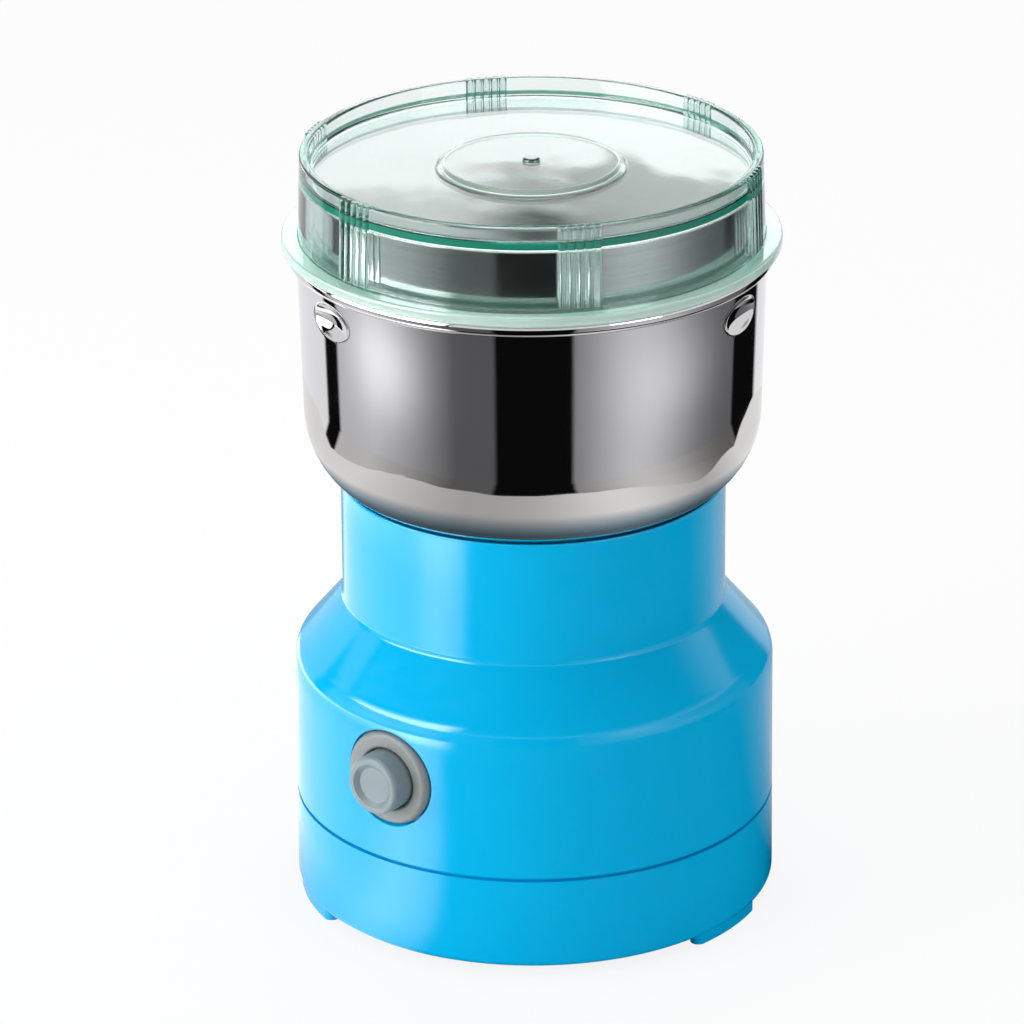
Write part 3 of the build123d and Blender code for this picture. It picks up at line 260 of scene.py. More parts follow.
def arc_card(name, radius, low, high, first, last, material, unseen=mirror_and_glass_only):
    """An upright card, curved round the object between two bearings from the camera."""
    a = np.radians(camera_azimuth + np.linspace(first, last, 33))[None, :]
    z = np.linspace(low, high, 3)[:, None]
    points = np.stack([radius * np.sin(a) + 0 * z, -radius * np.cos(a) + 0 * z, z + 0 * a], -1)
    stage_sheet(name, points, material, unseen)


def soft_box(name, bearing, elevation, distance, width, height, power):
    """A rectangular area light aimed at the middle of the object. Its bearing is in degrees
    from the camera's."""
    light = bpy.data.lights.new(name, "AREA")
    light.shape, light.size, light.size_y, light.energy = "RECTANGLE", width, height, power
    box = bpy.data.objects.new(name, light)
    a, e = radians(camera_azimuth + bearing), radians(elevation)
    away = Vector((sin(a) * cos(e), -cos(a) * cos(e), sin(e)))
    middle_height = 0.08
    box.location = away * distance + Vector((0, 0, middle_height))
    box.rotation_mode = "QUATERNION"
    box.rotation_quaternion = away.to_track_quat("Z", "Y")
    bpy.context.scene.collection.objects.link(box)


def panels(look, bearing, height):
    """Brightness of the reflector panels by bearing and height: a grey one at each side with
    a soft glow in it, black between and beside them, and white wings outside."""
    left = look.spread(bearing, 0.6, 0.11, -78, -34)
    left = left + look.peak(bearing, -70, 19) * look.peak(height, 0.067, 0.0145) * 0.66
    right = look.peak(bearing, 48, 26) * 0.54 + 0.13
    right = right + look.peak(bearing, 64, 24) * look.peak(height, 0.064, 0.012) * 0.24
    wings = look.spread(bearing, 0.95, 0.0, -113, -111) + look.spread(bearing, 0.0, 0.95, 130, 134)
    sides = left * look.window(bearing, -101, -16.2) + right * look.window(bearing, 17.5, 106)
    return sides + wings + 0.004


# The floor holds the window's light for mirror rays, out to the bearing where it ends,
# a weaker light at the back, and an even white for the camera.
white = (1, 1, 1)
look = Look("floor_white")
bearing, reach = look.bearing(), look.reach()
moved = bearing - look.spread(reach, 5.5, 0.0, 0.08, 0.15)
pool = look.spread(moved, 0.0, 1.35, -34, -41) + look.peak(moved, -54, 13) * 2.0
pool = pool * look.spread(reach, 0.5, 1.0, 0.054, 0.07) * look.spread(reach, 1.0, 3.4, 0.235, 0.33)
behind = look.spread(bearing, 0.0, 0.55, 98, 130) + look.spread(bearing, 0.55, 0.0, -165, -135)
mirrored = pool * look.window(moved, -150, -35.9, 3.0) + behind
lit = look.node("BsdfDiffuse", values={"Color": (0.88, 0.88, 0.88)})
strength = look.for_rays(0.0, mirrored, 1.0)
glow = look.node("Emission", values={"Color": white, "Strength": strength})
glowing = look.for_rays(0.0, 1.0, 0.86)
floor_white = look.shade(look.node("MixShader", values={0: glowing, 1: lit, 2: glow}))
floor_half, floor_gap = 3.0, 0.00005
x, y = np.meshgrid([-floor_half, floor_half], [-floor_half, floor_half])
stage_sheet("floor", np.stack([x, y, 0 * x - floor_gap], -1), floor_white)

# The backdrop is white for the camera and dims upwards for mirror rays.
world = bpy.data.worlds.new("studio")
bpy.context.scene.world = world
look = Look("studio", world)
direction = look.node("TexCoord", output="Generated")
upward = look.node("SeparateXYZ", values={0: direction}, output="Z")
above = look.spread(upward, 0.85, 0.0, 0.45, 0.58) + look.spread(upward, 0.0, 0.5, 0.88, 0.95)
strength = look.for_rays(0.45, above, 1.0)
look.shade(look.node("Background", values={"Color": white, "Strength": strength}))

soft_box("key", bearing=-66, elevation=14, distance=1.1, width=0.9, height=0.5, power=9.8)
soft_box("fill", bearing=48, elevation=16, distance=1.3, width=0.55, height=0.35, power=2.3)
soft_box("top", bearing=170, elevation=70, distance=1.2, width=1.3, height=1.3, power=7.6)

# The panels. The part behind the object isn't seen through the lid.
look = Look("panel_wall")
tone = panels(look, look.bearing(), look.height())
panel = look.shade(look.node("Emission", values={"Color": (0.96, 0.97, 1), "Strength": tone}))
panel_radius, panel_low, panel_high = 0.2, 0.035, 0.13
arc_card("panel_wall", panel_radius, panel_low, panel_high, -160, 160, panel)
arc_card("panel_back", panel_radius, panel_low, panel_high, 160, 200, panel, mirror_only)

# The window light's own reflection in the shoulder, the bead and the button.
look = Look("window")
bearing, height = look.bearing(), look.height()
top = height - (bearing + 88) * 0.0045
tone = look.spread(height, 5.5, 11.5, 0.08, 0.26) * look.spread(top, 1.0, 0.0, 0.35, 0.45)
tone = tone * look.window(bearing, -97, -41, 4.0)
window = look.shade(look.node("Emission", values={"Color": white, "Strength": tone}))
arc_card("window", 0.6, 0.0, 0.68, -104, -36, window, mirror_only)

# A narrow ring just under the bowl that only its rounded foot mirrors, from above. It is
# painted with a reflection: the pale table up to a wavy line, and the panels beyond it.
look = Look("table_ring")
bearing, reach = look.bearing(), look.reach()
table = look.spread(bearing, 0.86, 0.46, -66, -22) + look.peak(bearing, 29, 22) * 0.42
table = table + look.spread(bearing, 0.0, 0.4, 60, 85)
# Painted shade: the table's reflection darkens toward the neck.
table = table * look.spread(reach, 0.2, 1.0, 0.0433, 0.052)
line = reach + look.spread(look.noise(28, detail=1), -0.0026, 0.0026)
for centre, width, rise in ((-47, 12, -0.0075), (58, 17, 0.011), (112, 20, -0.017)):
    line = line + look.peak(bearing, centre, width) * rise
line = line - look.spread(bearing, 0.017, 0.0, -105, -80)
line = line - look.spread(bearing, 0.0, 0.017, 130, 170)
tone = table * look.spread(line, 1.0, 0.0, 0.0695, 0.0705)
tone = tone + panels(look, bearing * 1.2, panel_low) * look.spread(line, 0.0, 1.0, 0.0695, 0.0705)
# A painted reflection of the blue neck tints the ring by its inner edge.
inside = look.spread(reach, 0.0, 1.0, 0.0448, 0.0508)
tint = look.blend(inside, (0.6, 0.85, 1), (1, 0.985, 0.965))
from_below = look.node("NewGeometry", output="Backfacing")
pale = look.node("Emission", values={"Color": tint, "Strength": tone})
clear = look.node("BsdfTransparent")
ring_look = look.shade(look.node("MixShader", values={0: from_below, 1: pale, 2: clear}))
a = np.radians(np.linspace(0, 360, 97))[None, :]
r, ring_z = np.array([0.0419, 0.065, 0.085])[:, None], 0.0958
points = np.stack([r * np.sin(a), -r * np.cos(a), 0 * r * a + ring_z], -1)
stage_sheet("table_ring", points, ring_look, mirror_only)

# A bright strip behind the object, with a wavy upper edge, that the lid's plate
# mirrors in its far half. Over the edge, for the near half, it is greyer, with a dark
# patch in the middle.
look = Look("far_strip")
a = radians(camera_azimuth)
lateral, height = look.toward((cos(a), sin(a), 0)), look.height()
edge = 0.2755 - look.peak(lateral, 0.024, 0.008) * 0.0075
edge = edge - look.peak(lateral, 0.0, 0.012) * 0.0025
over = height - edge + look.spread(look.noise(55, stretch=(1, 1, 0.3)), -0.002, 0.002)
dark_patch = look.peak(lateral, 0.001, 0.016)
grey = look.spread(lateral, 1.9, 1.3, -0.02, 0.025) - dark_patch * 0.5
grey = grey - dark_patch * look.spread(height, 0.0, 1.0, 0.2805, 0.2845)
past_edge = look.spread(over, 0.0, 1.0, -0.001, 0.003)
tone = look.spread(over, 2.8, 0.0, -0.001, 0.003) + grey * past_edge
strip = look.shade(look.node("Emission", values={"Color": white, "Strength": tone}))
arc_card("far_strip", 0.3, 0.2, 0.305, 145, 215, strip)


# --------------------------------------------------------------------- housing
# The one-piece body, injection moulded in glossy blue plastic. Its side rises
# from the seam to a round shoulder and a narrower neck, whose thin lip holds the
# bowl. The button sits in a round pocket with a softened rim.
def rounded(corners, steps=7):
    """Profile through (radius, height, rounding) corners. Each rounding is an arc that
    touches both runs, with a point just off each end that keeps the runs' shading flat."""
    corners = [np.array(corner, float) for corner in corners]
    previous, following = corners[-1:] + corners[:-1], corners[1:] + corners[:1]
    beyond, out = 0.1, []
    for before, corner, after in zip(previous, corners, following):
        p, radius = corner[:2], corner[2]
        if radius == 0:
            out.append(p)
            continue
        u, v = before[:2] - p, after[:2] - p
        u, v = u / np.hypot(*u), v / np.hypot(*v)
        half = np.arccos(np.clip(u @ v, -1, 1)) / 2
        reach = radius / np.tan(half)
        centre = p + (u + v) / np.hypot(*(u + v)) * radius / np.sin(half)
        a, b = p + u * reach - centre, p + v * reach - centre
        swing = pi - 2 * half
        shares = np.linspace(0, 1, steps)[:, None]
        arc = (np.sin((1 - shares) * swing) * a + np.sin(shares * swing) * b) / np.sin(swing)
        out += [p + u * (reach + beyond), *(centre + arc), p + v * (reach + beyond)]
    return np.array(out)


def closed(profile):
    """The profile with its first point once more at its end."""
    return np.concatenate([profile, profile[:1]])


def lathe(profile, azimuths):
    """Points of a profile (radius, height, mm) turned to each azimuth, in metres."""
    a = np.radians(azimuths)[None, :]
    r, z = profile[:, :1], profile[:, 1:]
    return np.stack([r * np.sin(a), -r * np.cos(a), z + 0 * a], -1) / 1000


def add_piece(name, patches, body, slot, *nodes):
    """A finished solid: its mesh, the body it rides on, its material by slot and the nodes
    of the CAD that it replaces."""
    piece = bpy.data.objects.new(name, points_mesh(name, patches))
    piece.data.materials.append(finishes[slot])
    bpy.context.scene.collection.objects.link(piece)
    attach(piece, body)
    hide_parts(*nodes)
    return piece


finishes = {}

# The shading of the shoulder is softened, as if its round began lower down the side.
look = Look("blue_plastic")
tint = look.drift(30, (0.0, 0.425, 0.765), (0.0, 0.44, 0.79))
rough = look.spread(look.noise(260, detail=3), 0.09, 0.14)
limits = {"From Min": 0.0503, "From Max": 0.0585, "To Min": 1.0, "To Max": 0.0}
limits["Value"] = look.height()
fall = look.node("MapRange", {"interpolation_type": "SMOOTHSTEP"}, limits)
waves = look.bump(look.noise(55), 0.00006, look.bump(fall, 0.0008))
skin = look.bump(look.noise(700), 0.000003, waves)
finishes["blue_plastic"] = look.solid(tint, rough, skin, IOR=1.5)

base_radius, shoulder_radius, neck_radius, wall = 52.5, 52.2, 41.71, 2.5
base_z, seam_z, shoulder_z, neck_z, deck_z, bowl_z = 2.1, 22.7, 56.1, 68.4, 89.8, 92.8
seam_gap, seam_step, hub_hole = 0.3, 1.1, 8.15
lip_z, lip_radius, lip_foot_z = bowl_z + 3.2, 41.1, bowl_z + 2.4
seat_centre, foot_round, seat_angle = 30.0, 19.1, 29.03
inner_shoulder_z, inner_neck_z = 55.2, 67.5
button_z, pocket_depth, pocket_radius, rim_round = 42.1, 2.2, 10.9, 0.35


def side(z):
    """The body's outside radius on its slightly tapered side."""
    return base_radius + (z - base_z) / (shoulder_z - base_z) * (shoulder_radius - base_radius)


# The profile is turned all round except for a patch at the front, where only the part
# below and above the patch is.
patch_z = np.linspace(29.1, 53.8, 21)
edge_z = seam_z + seam_gap
seat = np.radians(np.linspace(seat_angle, 0, 9))
profile = rounded(
    [
        (side(edge_z) - seam_step, edge_z, 0.1),
        (side(edge_z), edge_z, 0.45),
        *[(side(z), z, 0) for z in patch_z],
        (shoulder_radius, shoulder_z, 6.0),
        (neck_radius, neck_z, 2.0),
        (neck_radius, lip_z, 0.35),
        (lip_radius, lip_z, 0.15),
        (lip_radius - 0.05, lip_foot_z, 0.1),
        *[(seat_centre + foot_round * sin(t), bowl_z + foot_round * (1 - cos(t)), 0) for t in seat],
        (hub_hole, bowl_z, 0.2),
        (hub_hole, deck_z, 0.2),
        (neck_radius - wall, deck_z, 0.5),
        (neck_radius - wall, inner_neck_z, 1.0),
        (shoulder_radius - wall, inner_shoulder_z, 2.0),
        (side(seam_z) - wall, seam_z, 0.1),
        (side(seam_z) - seam_step, seam_z, 0.1),
    ]
)
off_patch = np.hypot(profile[:, 0] - side(patch_z[0]), profile[:, 1] - patch_z[0])
first_row = int(np.argmin(off_patch))
last_row = first_row + len(patch_z) - 1
loop = np.concatenate([profile[last_row:], profile[: first_row + 1]])
patch_half = 16.0
patch_a = np.linspace(-patch_half, patch_half, 25)
around = np.linspace(patch_half, 360 - patch_half, 165)

# The patch runs from its four-sided border to the pocket's round rim, over the rim and
# down to the pocket's floor, ring by ring.
sweep = np.sin(np.radians(patch_a))
x_low, x_high = side(patch_z[0]) * sweep, side(patch_z[-1]) * sweep
x_side = side(patch_z) * sin(radians(patch_half))
border = np.concatenate(
    [
        np.stack([x_low, 0 * x_low + patch_z[0]], -1),
        np.stack([x_side, patch_z], -1)[1:],
        np.stack([x_high, 0 * x_high + patch_z[-1]], -1)[-2::-1],
        np.stack([-x_side, patch_z], -1)[-2::-1],
    ]
)
theta = np.arctan2(border[:, 1] - button_z, border[:, 0])
ray = np.stack([np.cos(theta), np.sin(theta)], -1)
middle = np.array([0.0, button_z])


def on_side(flat):
    """Lifts (x, z) points onto the body's side."""
    return -np.sqrt(side(flat[:, 1]) ** 2 - flat[:, 0] ** 2)


rings = []
for share in np.linspace(1, 0, 7):
    flat = border * share + (middle + ray * (pocket_radius + rim_round)) * (1 - share)
    rings.append(np.stack([flat[:, 0], on_side(flat), flat[:, 1]], -1))
for t in np.radians(np.linspace(15, 90, 6)):
    flat = middle + ray * (pocket_radius + rim_round * (1 - sin(t)))
    rings.append(np.stack([flat[:, 0], on_side(flat) + rim_round * (1 - cos(t)), flat[:, 1]], -1))
floor_y = -side(button_z) + pocket_depth
# Two rings close to the corner keep the floor's shading flat.
for radius in (pocket_radius, pocket_radius - 0.1, pocket_radius - 0.3, 0.0):
    flat = middle + ray * radius
    rings.append(np.stack([flat[:, 0], 0 * flat[:, 0] + floor_y, flat[:, 1]], -1))
pocket = np.array(rings) / 1000
patches = [lathe(closed(profile), around), lathe(loop, patch_a), pocket]
add_piece("moulded_body", patches, "body", "blue_plastic", "housing")

# --------------------------------------------------------------- button_bezel
# The collar round the push button, turned about the front-to-back axis, with the
# barrel that holds the switch behind it. Fine spark texture in grey plastic.
def front_lathe(profile, azimuths):
    """Points of a profile (radius, Y, mm) turned about the button's axis, in metres."""
    return lathe(profile, azimuths)[..., [0, 2, 1]] + (0, 0, button_z / 1000)


look = Look("light_grey_plastic")
grain = look.noise(2600, detail=1)
tint = look.drift(90, (0.195, 0.215, 0.22), (0.235, 0.25, 0.25))
rough = look.spread(grain, 0.38, 0.5)
finishes["light_grey_plastic"] = look.solid(tint, rough, look.bump(grain, 0.00001))

face_y, collar_back_y, barrel_back_y = -52.58, -50.08, -42.58
hole_radius, barrel_radius, collar_radius = 6.9, 8.5, 10.5
full_turn = np.linspace(0, 360, 121)
profile = rounded(
    [
        (hole_radius, face_y, 0.7),
        (collar_radius, face_y, 1.3),
        (collar_radius, collar_back_y, 0.1),
        (barrel_radius, collar_back_y, 0.1),
        (barrel_radius, barrel_back_y, 0.2),
        (hole_radius, barrel_back_y, 0.2),
    ]
)
collar = front_lathe(closed(profile), full_turn)
add_piece("button_collar", [collar], "body", "light_grey_plastic", "button_bezel")

# ----------------------------------------------------------------- button_cap
# The push button: a thick cap with a shallow dish in its face and a stem behind.
look = Look("slate_plastic")
grain = look.noise(2600, detail=1)
tint = look.drift(120, (0.185, 0.235, 0.255), (0.215, 0.27, 0.29))
rough = look.spread(grain, 0.3, 0.42)
finishes["slate_plastic"] = look.solid(tint, rough, look.bump(grain, 0.000008))

front_y, dish_y, cap_back_y, stem_back_y = -57.58, -56.58, -50.48, -40.98
cap_radius, stem_radius, dish_radius, dish_rim_radius = 6.6, 3.0, 3.9, 5.0
profile = rounded(
    [
        (0, dish_y, 0),
        (dish_radius, dish_y, 0.5),
        (dish_rim_radius, front_y, 0.3),
        (cap_radius, front_y, 1.1),
        (cap_radius, cap_back_y, 0.3),
        (stem_radius, cap_back_y, 0.2),
        (stem_radius, stem_back_y, 0.3),
        (0, stem_back_y, 0),
    ]
)
cap = front_lathe(profile, full_turn)
add_piece("push_button", [cap], "button", "slate_plastic", "button_cap")

# ----------------------------------------------------------------- bowl_shell
# The bowl's outer skin, deep drawn from thin stainless steel and polished to a
# mirror. The mouth is rolled to a bead, and three dimples pressed in below it
# grip the inner bowl.
look = Look("polished_steel")
sway = look.bump(look.noise(26, stretch=(1, 1, 0.45), detail=1), 0.00022)
skin = look.bump(look.noise(900, stretch=(1, 1, 0.12)), 0.0000006, sway)
tint = look.drift(40, (0.7, 0.69, 0.7), (0.74, 0.73, 0.735))
rough = look.spread(look.noise(120), 0.03, 0.06)
finishes["polished_steel"] = look.solid(tint, rough, skin, Metallic=1.0)

foot_radius, mouth_radius, sheet, wall_taper = 48.8, 50.25, 0.8, 1.45 / 53.6
mouth_z, bead_floor_z, bead_roof_z, bead_top_z = 146.4, 147.2, 148.6, 149.34
bead_radius, bead_mouth_radius = 52.3, 47.35
dimple_z, dimple_radius, pressed_from = 140.6, 50.0, 44
dimple_azimuths, dimple_half = (-21.0, 99.0, 219.0), 13
egg_reach, egg_round, egg_depth, egg_softness, least_press = 8.6, 4.5, 1.99, 0.16, 0.02
dimple_rows = [(foot_radius + (z - bowl_z) * wall_taper, z) for z in np.linspace(135.6, 145.6, 41)]
profile = rounded(
    [
        (hub_hole, bowl_z, 0.1),
        (foot_radius, bowl_z, foot_round),
        *[(r, z, 0) for r, z in dimple_rows],
        (mouth_radius, mouth_z, 0.3),
        (bead_radius, mouth_z, 1.3),
        (bead_radius, bead_top_z, 1.3),
        (bead_mouth_radius, bead_top_z, 0.3),
        (bead_mouth_radius, bead_roof_z, 0.1),
        (bead_radius - sheet, bead_roof_z, 0.5),
        (bead_radius - sheet, bead_floor_z, 0.5),
        (mouth_radius - 0.79, bead_floor_z, 0.2),
        *[(r - sheet, z, 0) for r, z in dimple_rows[::-1]],
        (foot_radius - sheet, bowl_z + sheet, foot_round - sheet),
        (hub_hole, bowl_z + sheet, 0.1),
    ],
    steps=13,
)
profile = closed(profile)
near = np.linspace(-dimple_half, dimple_half, 87)
gap = np.linspace(dimple_half, 120 - dimple_half, 48)
third = np.concatenate([near[:-1], gap[:-1]])
around = np.concatenate([third + azimuth for azimuth in dimple_azimuths])
around = np.append(around, around[0] + 360)

# Each dimple is the part of an egg that reaches into the wall, with a softened edge.
depth = np.zeros((len(profile), len(around)))
for azimuth in dimple_azimuths:
    swing = np.radians((around - azimuth + 180) % 360 - 180)
    u, v = np.meshgrid(swing * dimple_radius, profile[:, 1] - dimple_z)
    left = np.clip(1 - (u / egg_reach) ** 2 - (v / egg_round) ** 2, 0, None)
    press = egg_round * np.sqrt(left) - (egg_round - egg_depth)
    press = np.where(profile[:, :1] > pressed_from, press, -9)
    depth += 0.5 * (press + np.hypot(press, egg_softness))
depth = np.where(depth > least_press, depth, 0)
shell = lathe(profile, around)
a = np.radians(around)
shell[..., 0] -= depth * np.sin(a) / 1000
shell[..., 1] += depth * np.cos(a) / 1000
add_piece("polished_shell", [shell], "body", "polished_steel", "bowl_shell")

# ----------------------------------------------------------------------- bowl
# The inner cup, drawn from one sheet, that stands up inside the lid as a tall
# collar. It is brushed on the lathe, so its reflections are soft.
def lathe_marks(look, scale):
    """Random values that change with height and distance from the Z axis only, like
    turning marks."""
    spot = look.node("CombineXYZ", values={"X": look.reach(), "Z": look.height()})
    return look.node("TexNoise", values={"Vector": spot, "Scale": scale, "Detail": 2.0})


# Inside it is rougher, and darker with painted shade; outside, painted shade darkens its foot where
# the bead overhangs it.
look = Look("brushed_bowl")
marks = lathe_marks(look, 2200)
dark = (0.08, 0.08, 0.08)
outside = look.spread(look.reach(), 0.0, 1.0, 0.0466, 0.0468)
foot = look.window(look.height(), 0.1485, 0.1532, 0.0006) * outside
tint = look.blend(look.spread(marks, 0.0, 1.0), (0.6, 0.59, 0.59), (0.68, 0.67, 0.67))
# Painted shade: the dark colour is mixed in over the inside and over the foot by the bead.
tint = look.blend(foot * 0.5, look.blend(outside * 0.35 + 0.65, dark, tint), dark)
rough = look.spread(look.noise(60), 0.11, 0.15) * outside + (0.42 - outside * 0.42)
metal = outside * 0.25 + 0.75
normal = look.bump(marks, 0.000003)
finishes["brushed_bowl"] = look.solid(tint, rough, normal, Metallic=metal)

cup_radius, cup_z, cup_top_z, cup_round = 47.1, 93.6, 164.0, 18.3
profile = rounded(
    [
        (hub_hole, cup_z, 0.1),
        (cup_radius, cup_z, cup_round),
        (cup_radius, cup_top_z, 0.35),
        (cup_radius - sheet, cup_top_z, 0.35),
        (cup_radius - sheet, cup_z + sheet, cup_round - sheet),
        (hub_hole, cup_z + sheet, 0.1),
    ],
    steps=13,
)
cup = lathe(closed(profile), np.linspace(0, 360, 181))
piece = add_piece("inner_bowl", [cup], "body", "polished_steel", "bowl")
piece.data.materials[0] = finishes["brushed_bowl"]

# ------------------------------------------------------------------------ lid
# The clear lid, moulded in plastic with a light green tint that shows where one
# looks along the sheet. Six groups of five half-round ribs give the hand a grip, the
# top is a sunk plate with a raised centre, and the gate's stub is in its middle.
def tinge(look, glass, share, scale, first, second, roughness):
    """Mixes a share of a plain colour into the glass."""
    colour = look.blend(look.noise(scale), first, second)
    plain = look.node("BsdfPrincipled", values={"Base Color": colour, "Roughness": roughness})
    return look.node("MixShader", values={0: share, 1: glass, 2: plain})


look = Look("clear_green_plastic")
height, reach = look.height(), look.reach()
fine = look.bump(look.noise(220), 0.000004)
clear = {
    "Base Color": look.drift(60, (0.975, 0.995, 0.985), (0.985, 1, 0.99)),
    "Transmission Weight": 1.0,
    "IOR": 1.5,
    "Roughness": look.spread(look.noise(70), 0.0, 0.02),
    "Normal": look.bump(look.noise(45, detail=1), 0.00008, fine),
}
glass = look.node("BsdfPrincipled", values=clear)

# A deep green band painted where the plate meets the wall, standing in for the light that runs
# along inside the plate.
band = look.spread(height, 0.0, 1.0, 0.16475, 0.16495)
band = band * look.spread(height, 1.0, 0.0, 0.1662, 0.1665)
band = band * look.spread(reach, 0.0, 1.0, 0.0483, 0.0486)
glass = tinge(look, glass, band * 0.85, 80, (0.01, 0.2, 0.13), (0.02, 0.27, 0.18), 0.08)

# Milky shares painted on the flange and on the step round the raised centre: a pale colour that
# stands in for the light seen in the clear plastic there.
rim = look.spread(height, 0.6, 0.0, 0.1514, 0.15165) * look.spread(reach, 0.0, 1.0, 0.0494, 0.0498)
step = look.spread(height, 0.0, 0.4, 0.1659, 0.1661) * look.window(reach, 0.0183, 0.0207, 0.0001)
glass = tinge(look, glass, rim + step, 110, (0.62, 0.79, 0.72), (0.73, 0.88, 0.81), 0.2)

# Ribs painted teal, found by how far they stand proud of the drafted wall: the teal stands in for
# the light seen through the ribs edge-on.
draft = 0.0333
proud = reach + (height - 0.1516) * draft
rib = look.spread(proud, 0.0, 0.26, 0.04995, 0.0501) * look.spread(height, 0.0, 1.0, 0.1516, 0.152)
glass = tinge(look, glass, rib, 90, (0.07, 0.22, 0.18), (0.12, 0.3, 0.25), 0.15)

# The lamps' light passes straight through, and the plastic tints what is seen along it.
shadow = look.node("LightPath", output="Is Shadow Ray")
pass_light = look.node("BsdfTransparent", values={"Color": (0.9, 0.96, 0.93)})
surface = look.node("MixShader", values={0: shadow, 1: glass, 2: pass_light})
tinted = look.node("VolumeAbsorption", values={"Color": (0.083, 0.8, 0.68), "Density": 48.0})
finishes["clear_green_plastic"] = look.shade(surface, tinted)

flange_z, flange_top_z, under_plate_z, plate_z, lid_top_z = 149.4, 151.6, 164.3, 165.8, 169.6
centre_lift, stub_radius, stub_top_z = 1.2, 1.8, 167.8
step_inner, step_outer, rim_inner, rim_outer = 18.7, 20.3, 47.3, 49.3
inside_radius, wall_foot_radius, flange_radius = 47.9, 49.9, 53.5
profile = rounded(
    [
        (0, stub_top_z, 0),
        (stub_radius, stub_top_z, 0.35),
        (stub_radius, plate_z + centre_lift, 0.25),
        (step_inner, plate_z + centre_lift, 0.9),
        (step_outer, plate_z, 0.7),
        (rim_inner, plate_z, 0.7),
        (rim_inner, lid_top_z, 0.7),
        (rim_outer, lid_top_z, 0.7),
        (wall_foot_radius, flange_top_z, 0.3),
        (flange_radius, flange_top_z, 0.65),
        (flange_radius, flange_z, 0.35),
        (inside_radius, flange_z, 0.2),
        (inside_radius, under_plate_z, 0.7),
        (step_outer, under_plate_z, 0.7),
        (step_inner, under_plate_z + centre_lift, 0.9),
        (0, under_plate_z + centre_lift, 0),
    ],
    steps=6,
)
ribs, groups, first_group, rib_pitch, rib_radius, rib_sunk = 5, 6, -11.2, 2.15, 0.95, 0.35
group_turn, group_half, wall_radius = 360 / groups, 6.6, 49.6
near = np.linspace(-group_half, group_half, 103)
gap = np.linspace(group_half, group_turn - group_half, 22)
one_group = np.concatenate([near[:-1], gap[:-1]]) + first_group
around = np.concatenate([one_group + group_turn * k for k in range(groups)])
around = np.append(around, around[0] + 360)
swing = (around - first_group + group_turn / 2) % group_turn - group_turn / 2
rib_at = (np.arange(ribs) - (ribs - 1) / 2) * rib_pitch
off_rib = np.radians(np.abs(swing[:, None] - rib_at).min(1)) * wall_radius
rise = np.sqrt(np.clip(rib_radius**2 - off_rib**2, rib_sunk**2, None)) - rib_sunk
ribs_from_radius, ribs_from_z = 48.3, 151.95
on_wall = (profile[:, 0] > ribs_from_radius) & (profile[:, 1] > ribs_from_z)
clear_lid = lathe(profile, around)
a = np.radians(around)
clear_lid[on_wall, :, 0] += rise * np.sin(a) / 1000
clear_lid[on_wall, :, 1] -= rise * np.cos(a) / 1000
add_piece("clear_lid", [clear_lid], "lid", "clear_green_plastic", "lid")

# ------------------------------------------------------- plastics and rubbers
# Small moulded and pressed parts: matt grains of different sizes over colours that
# drift a little. Each row has two colours, the least and most roughness, the grains
# in a metre and their depth in microns.
for slot, first, second, low, high, scale, depth in (
    ("black_plastic", (0.03, 0.03, 0.033), (0.045, 0.045, 0.048), 0.35, 0.5, 2200, 10),
    ("white_nylon", (0.74, 0.72, 0.64), (0.82, 0.8, 0.73), 0.42, 0.55, 1500, 15),
    ("black_rubber", (0.022, 0.022, 0.023), (0.035, 0.035, 0.035), 0.62, 0.8, 1300, 30),
    ("fibre", (0.3, 0.13, 0.08), (0.4, 0.19, 0.12), 0.6, 0.75, 900, 30),
    ("carbon", (0.035, 0.035, 0.036), (0.07, 0.07, 0.072), 0.4, 0.6, 3000, 15),
):
    look = Look(slot)
    grain = look.noise(scale, detail=3)
    tint = look.drift(scale / 12, first, second, detail=4)
    normal = look.bump(grain, depth / 1e6)
    finishes[slot] = look.solid(tint, look.spread(grain, low, high), normal)

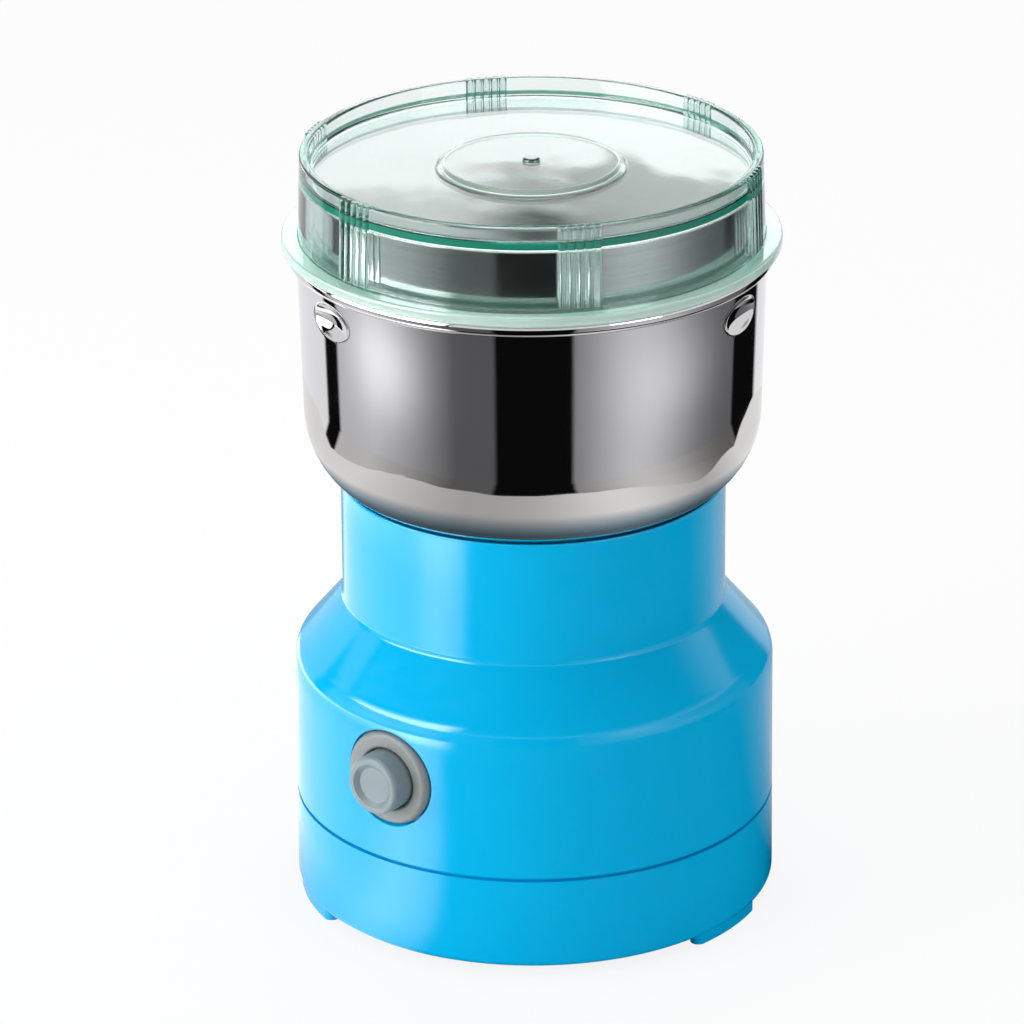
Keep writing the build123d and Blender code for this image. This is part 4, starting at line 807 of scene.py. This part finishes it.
# --------------------------------------------------------------------- metals
# Turned, drawn, ground and cast metals. Each row has two colours, the least and most
# roughness, the marks in a metre, how they are drawn out along one direction, or
# "turned" for lathe marks round the Z axis, and their depth in microns.
stretches = {
    "even": (1, 1, 1),
    "drawn": (1, 1, 0.1),
    "ground": (1, 0.04, 1),
    "stacked": (0.02, 0.02, 1),
    "wound": (0.1, 1, 1),
}
for slot, first, second, low, high, scale, way, depth in (
    ("turned_steel", (0.52, 0.52, 0.53), (0.64, 0.64, 0.65), 0.18, 0.32, 1800, "turned", 12),
    ("cast_metal", (0.5, 0.5, 0.51), (0.62, 0.62, 0.63), 0.3, 0.45, 1200, "turned", 20),
    ("bronze", (0.45, 0.29, 0.13), (0.6, 0.42, 0.22), 0.35, 0.5, 1500, "even", 20),
    ("brass", (0.66, 0.48, 0.19), (0.76, 0.58, 0.27), 0.22, 0.36, 900, "drawn", 8),
    ("copper_bars", (0.66, 0.32, 0.16), (0.76, 0.42, 0.26), 0.2, 0.35, 2600, "turned", 10),
    ("zinc_steel", (0.55, 0.55, 0.5), (0.66, 0.66, 0.64), 0.25, 0.4, 500, "even", 10),
    ("ground_steel", (0.56, 0.56, 0.57), (0.68, 0.68, 0.69), 0.12, 0.24, 1500, "ground", 8),
    ("spring_steel", (0.36, 0.36, 0.37), (0.5, 0.5, 0.51), 0.25, 0.4, 1200, "even", 10),
    ("laminated_steel", (0.16, 0.15, 0.15), (0.36, 0.36, 0.37), 0.35, 0.5, 2000, "stacked", 50),
    ("enamelled_copper", (0.36, 0.09, 0.03), (0.62, 0.22, 0.08), 0.2, 0.35, 1400, "wound", 100),
):
    look = Look(slot)
    turned = way == "turned"
    marks = lathe_marks(look, scale) if turned else look.noise(scale, stretches[way])
    tint = look.blend(look.spread(marks, 0.0, 1.0), first, second)
    rough = look.spread(look.noise(150, detail=3), low, high)
    normal = look.bump(marks, depth / 1e6)
    finishes[slot] = look.solid(tint, rough, normal, Metallic=1.0)

# Every node of the CAD takes the look of its slot.
for part in frame["record"]["subparts"]:
    stored = frame["nodes"][part["node"]].data.materials
    stored.clear()
    stored.append(finishes[part["material_slot"]])
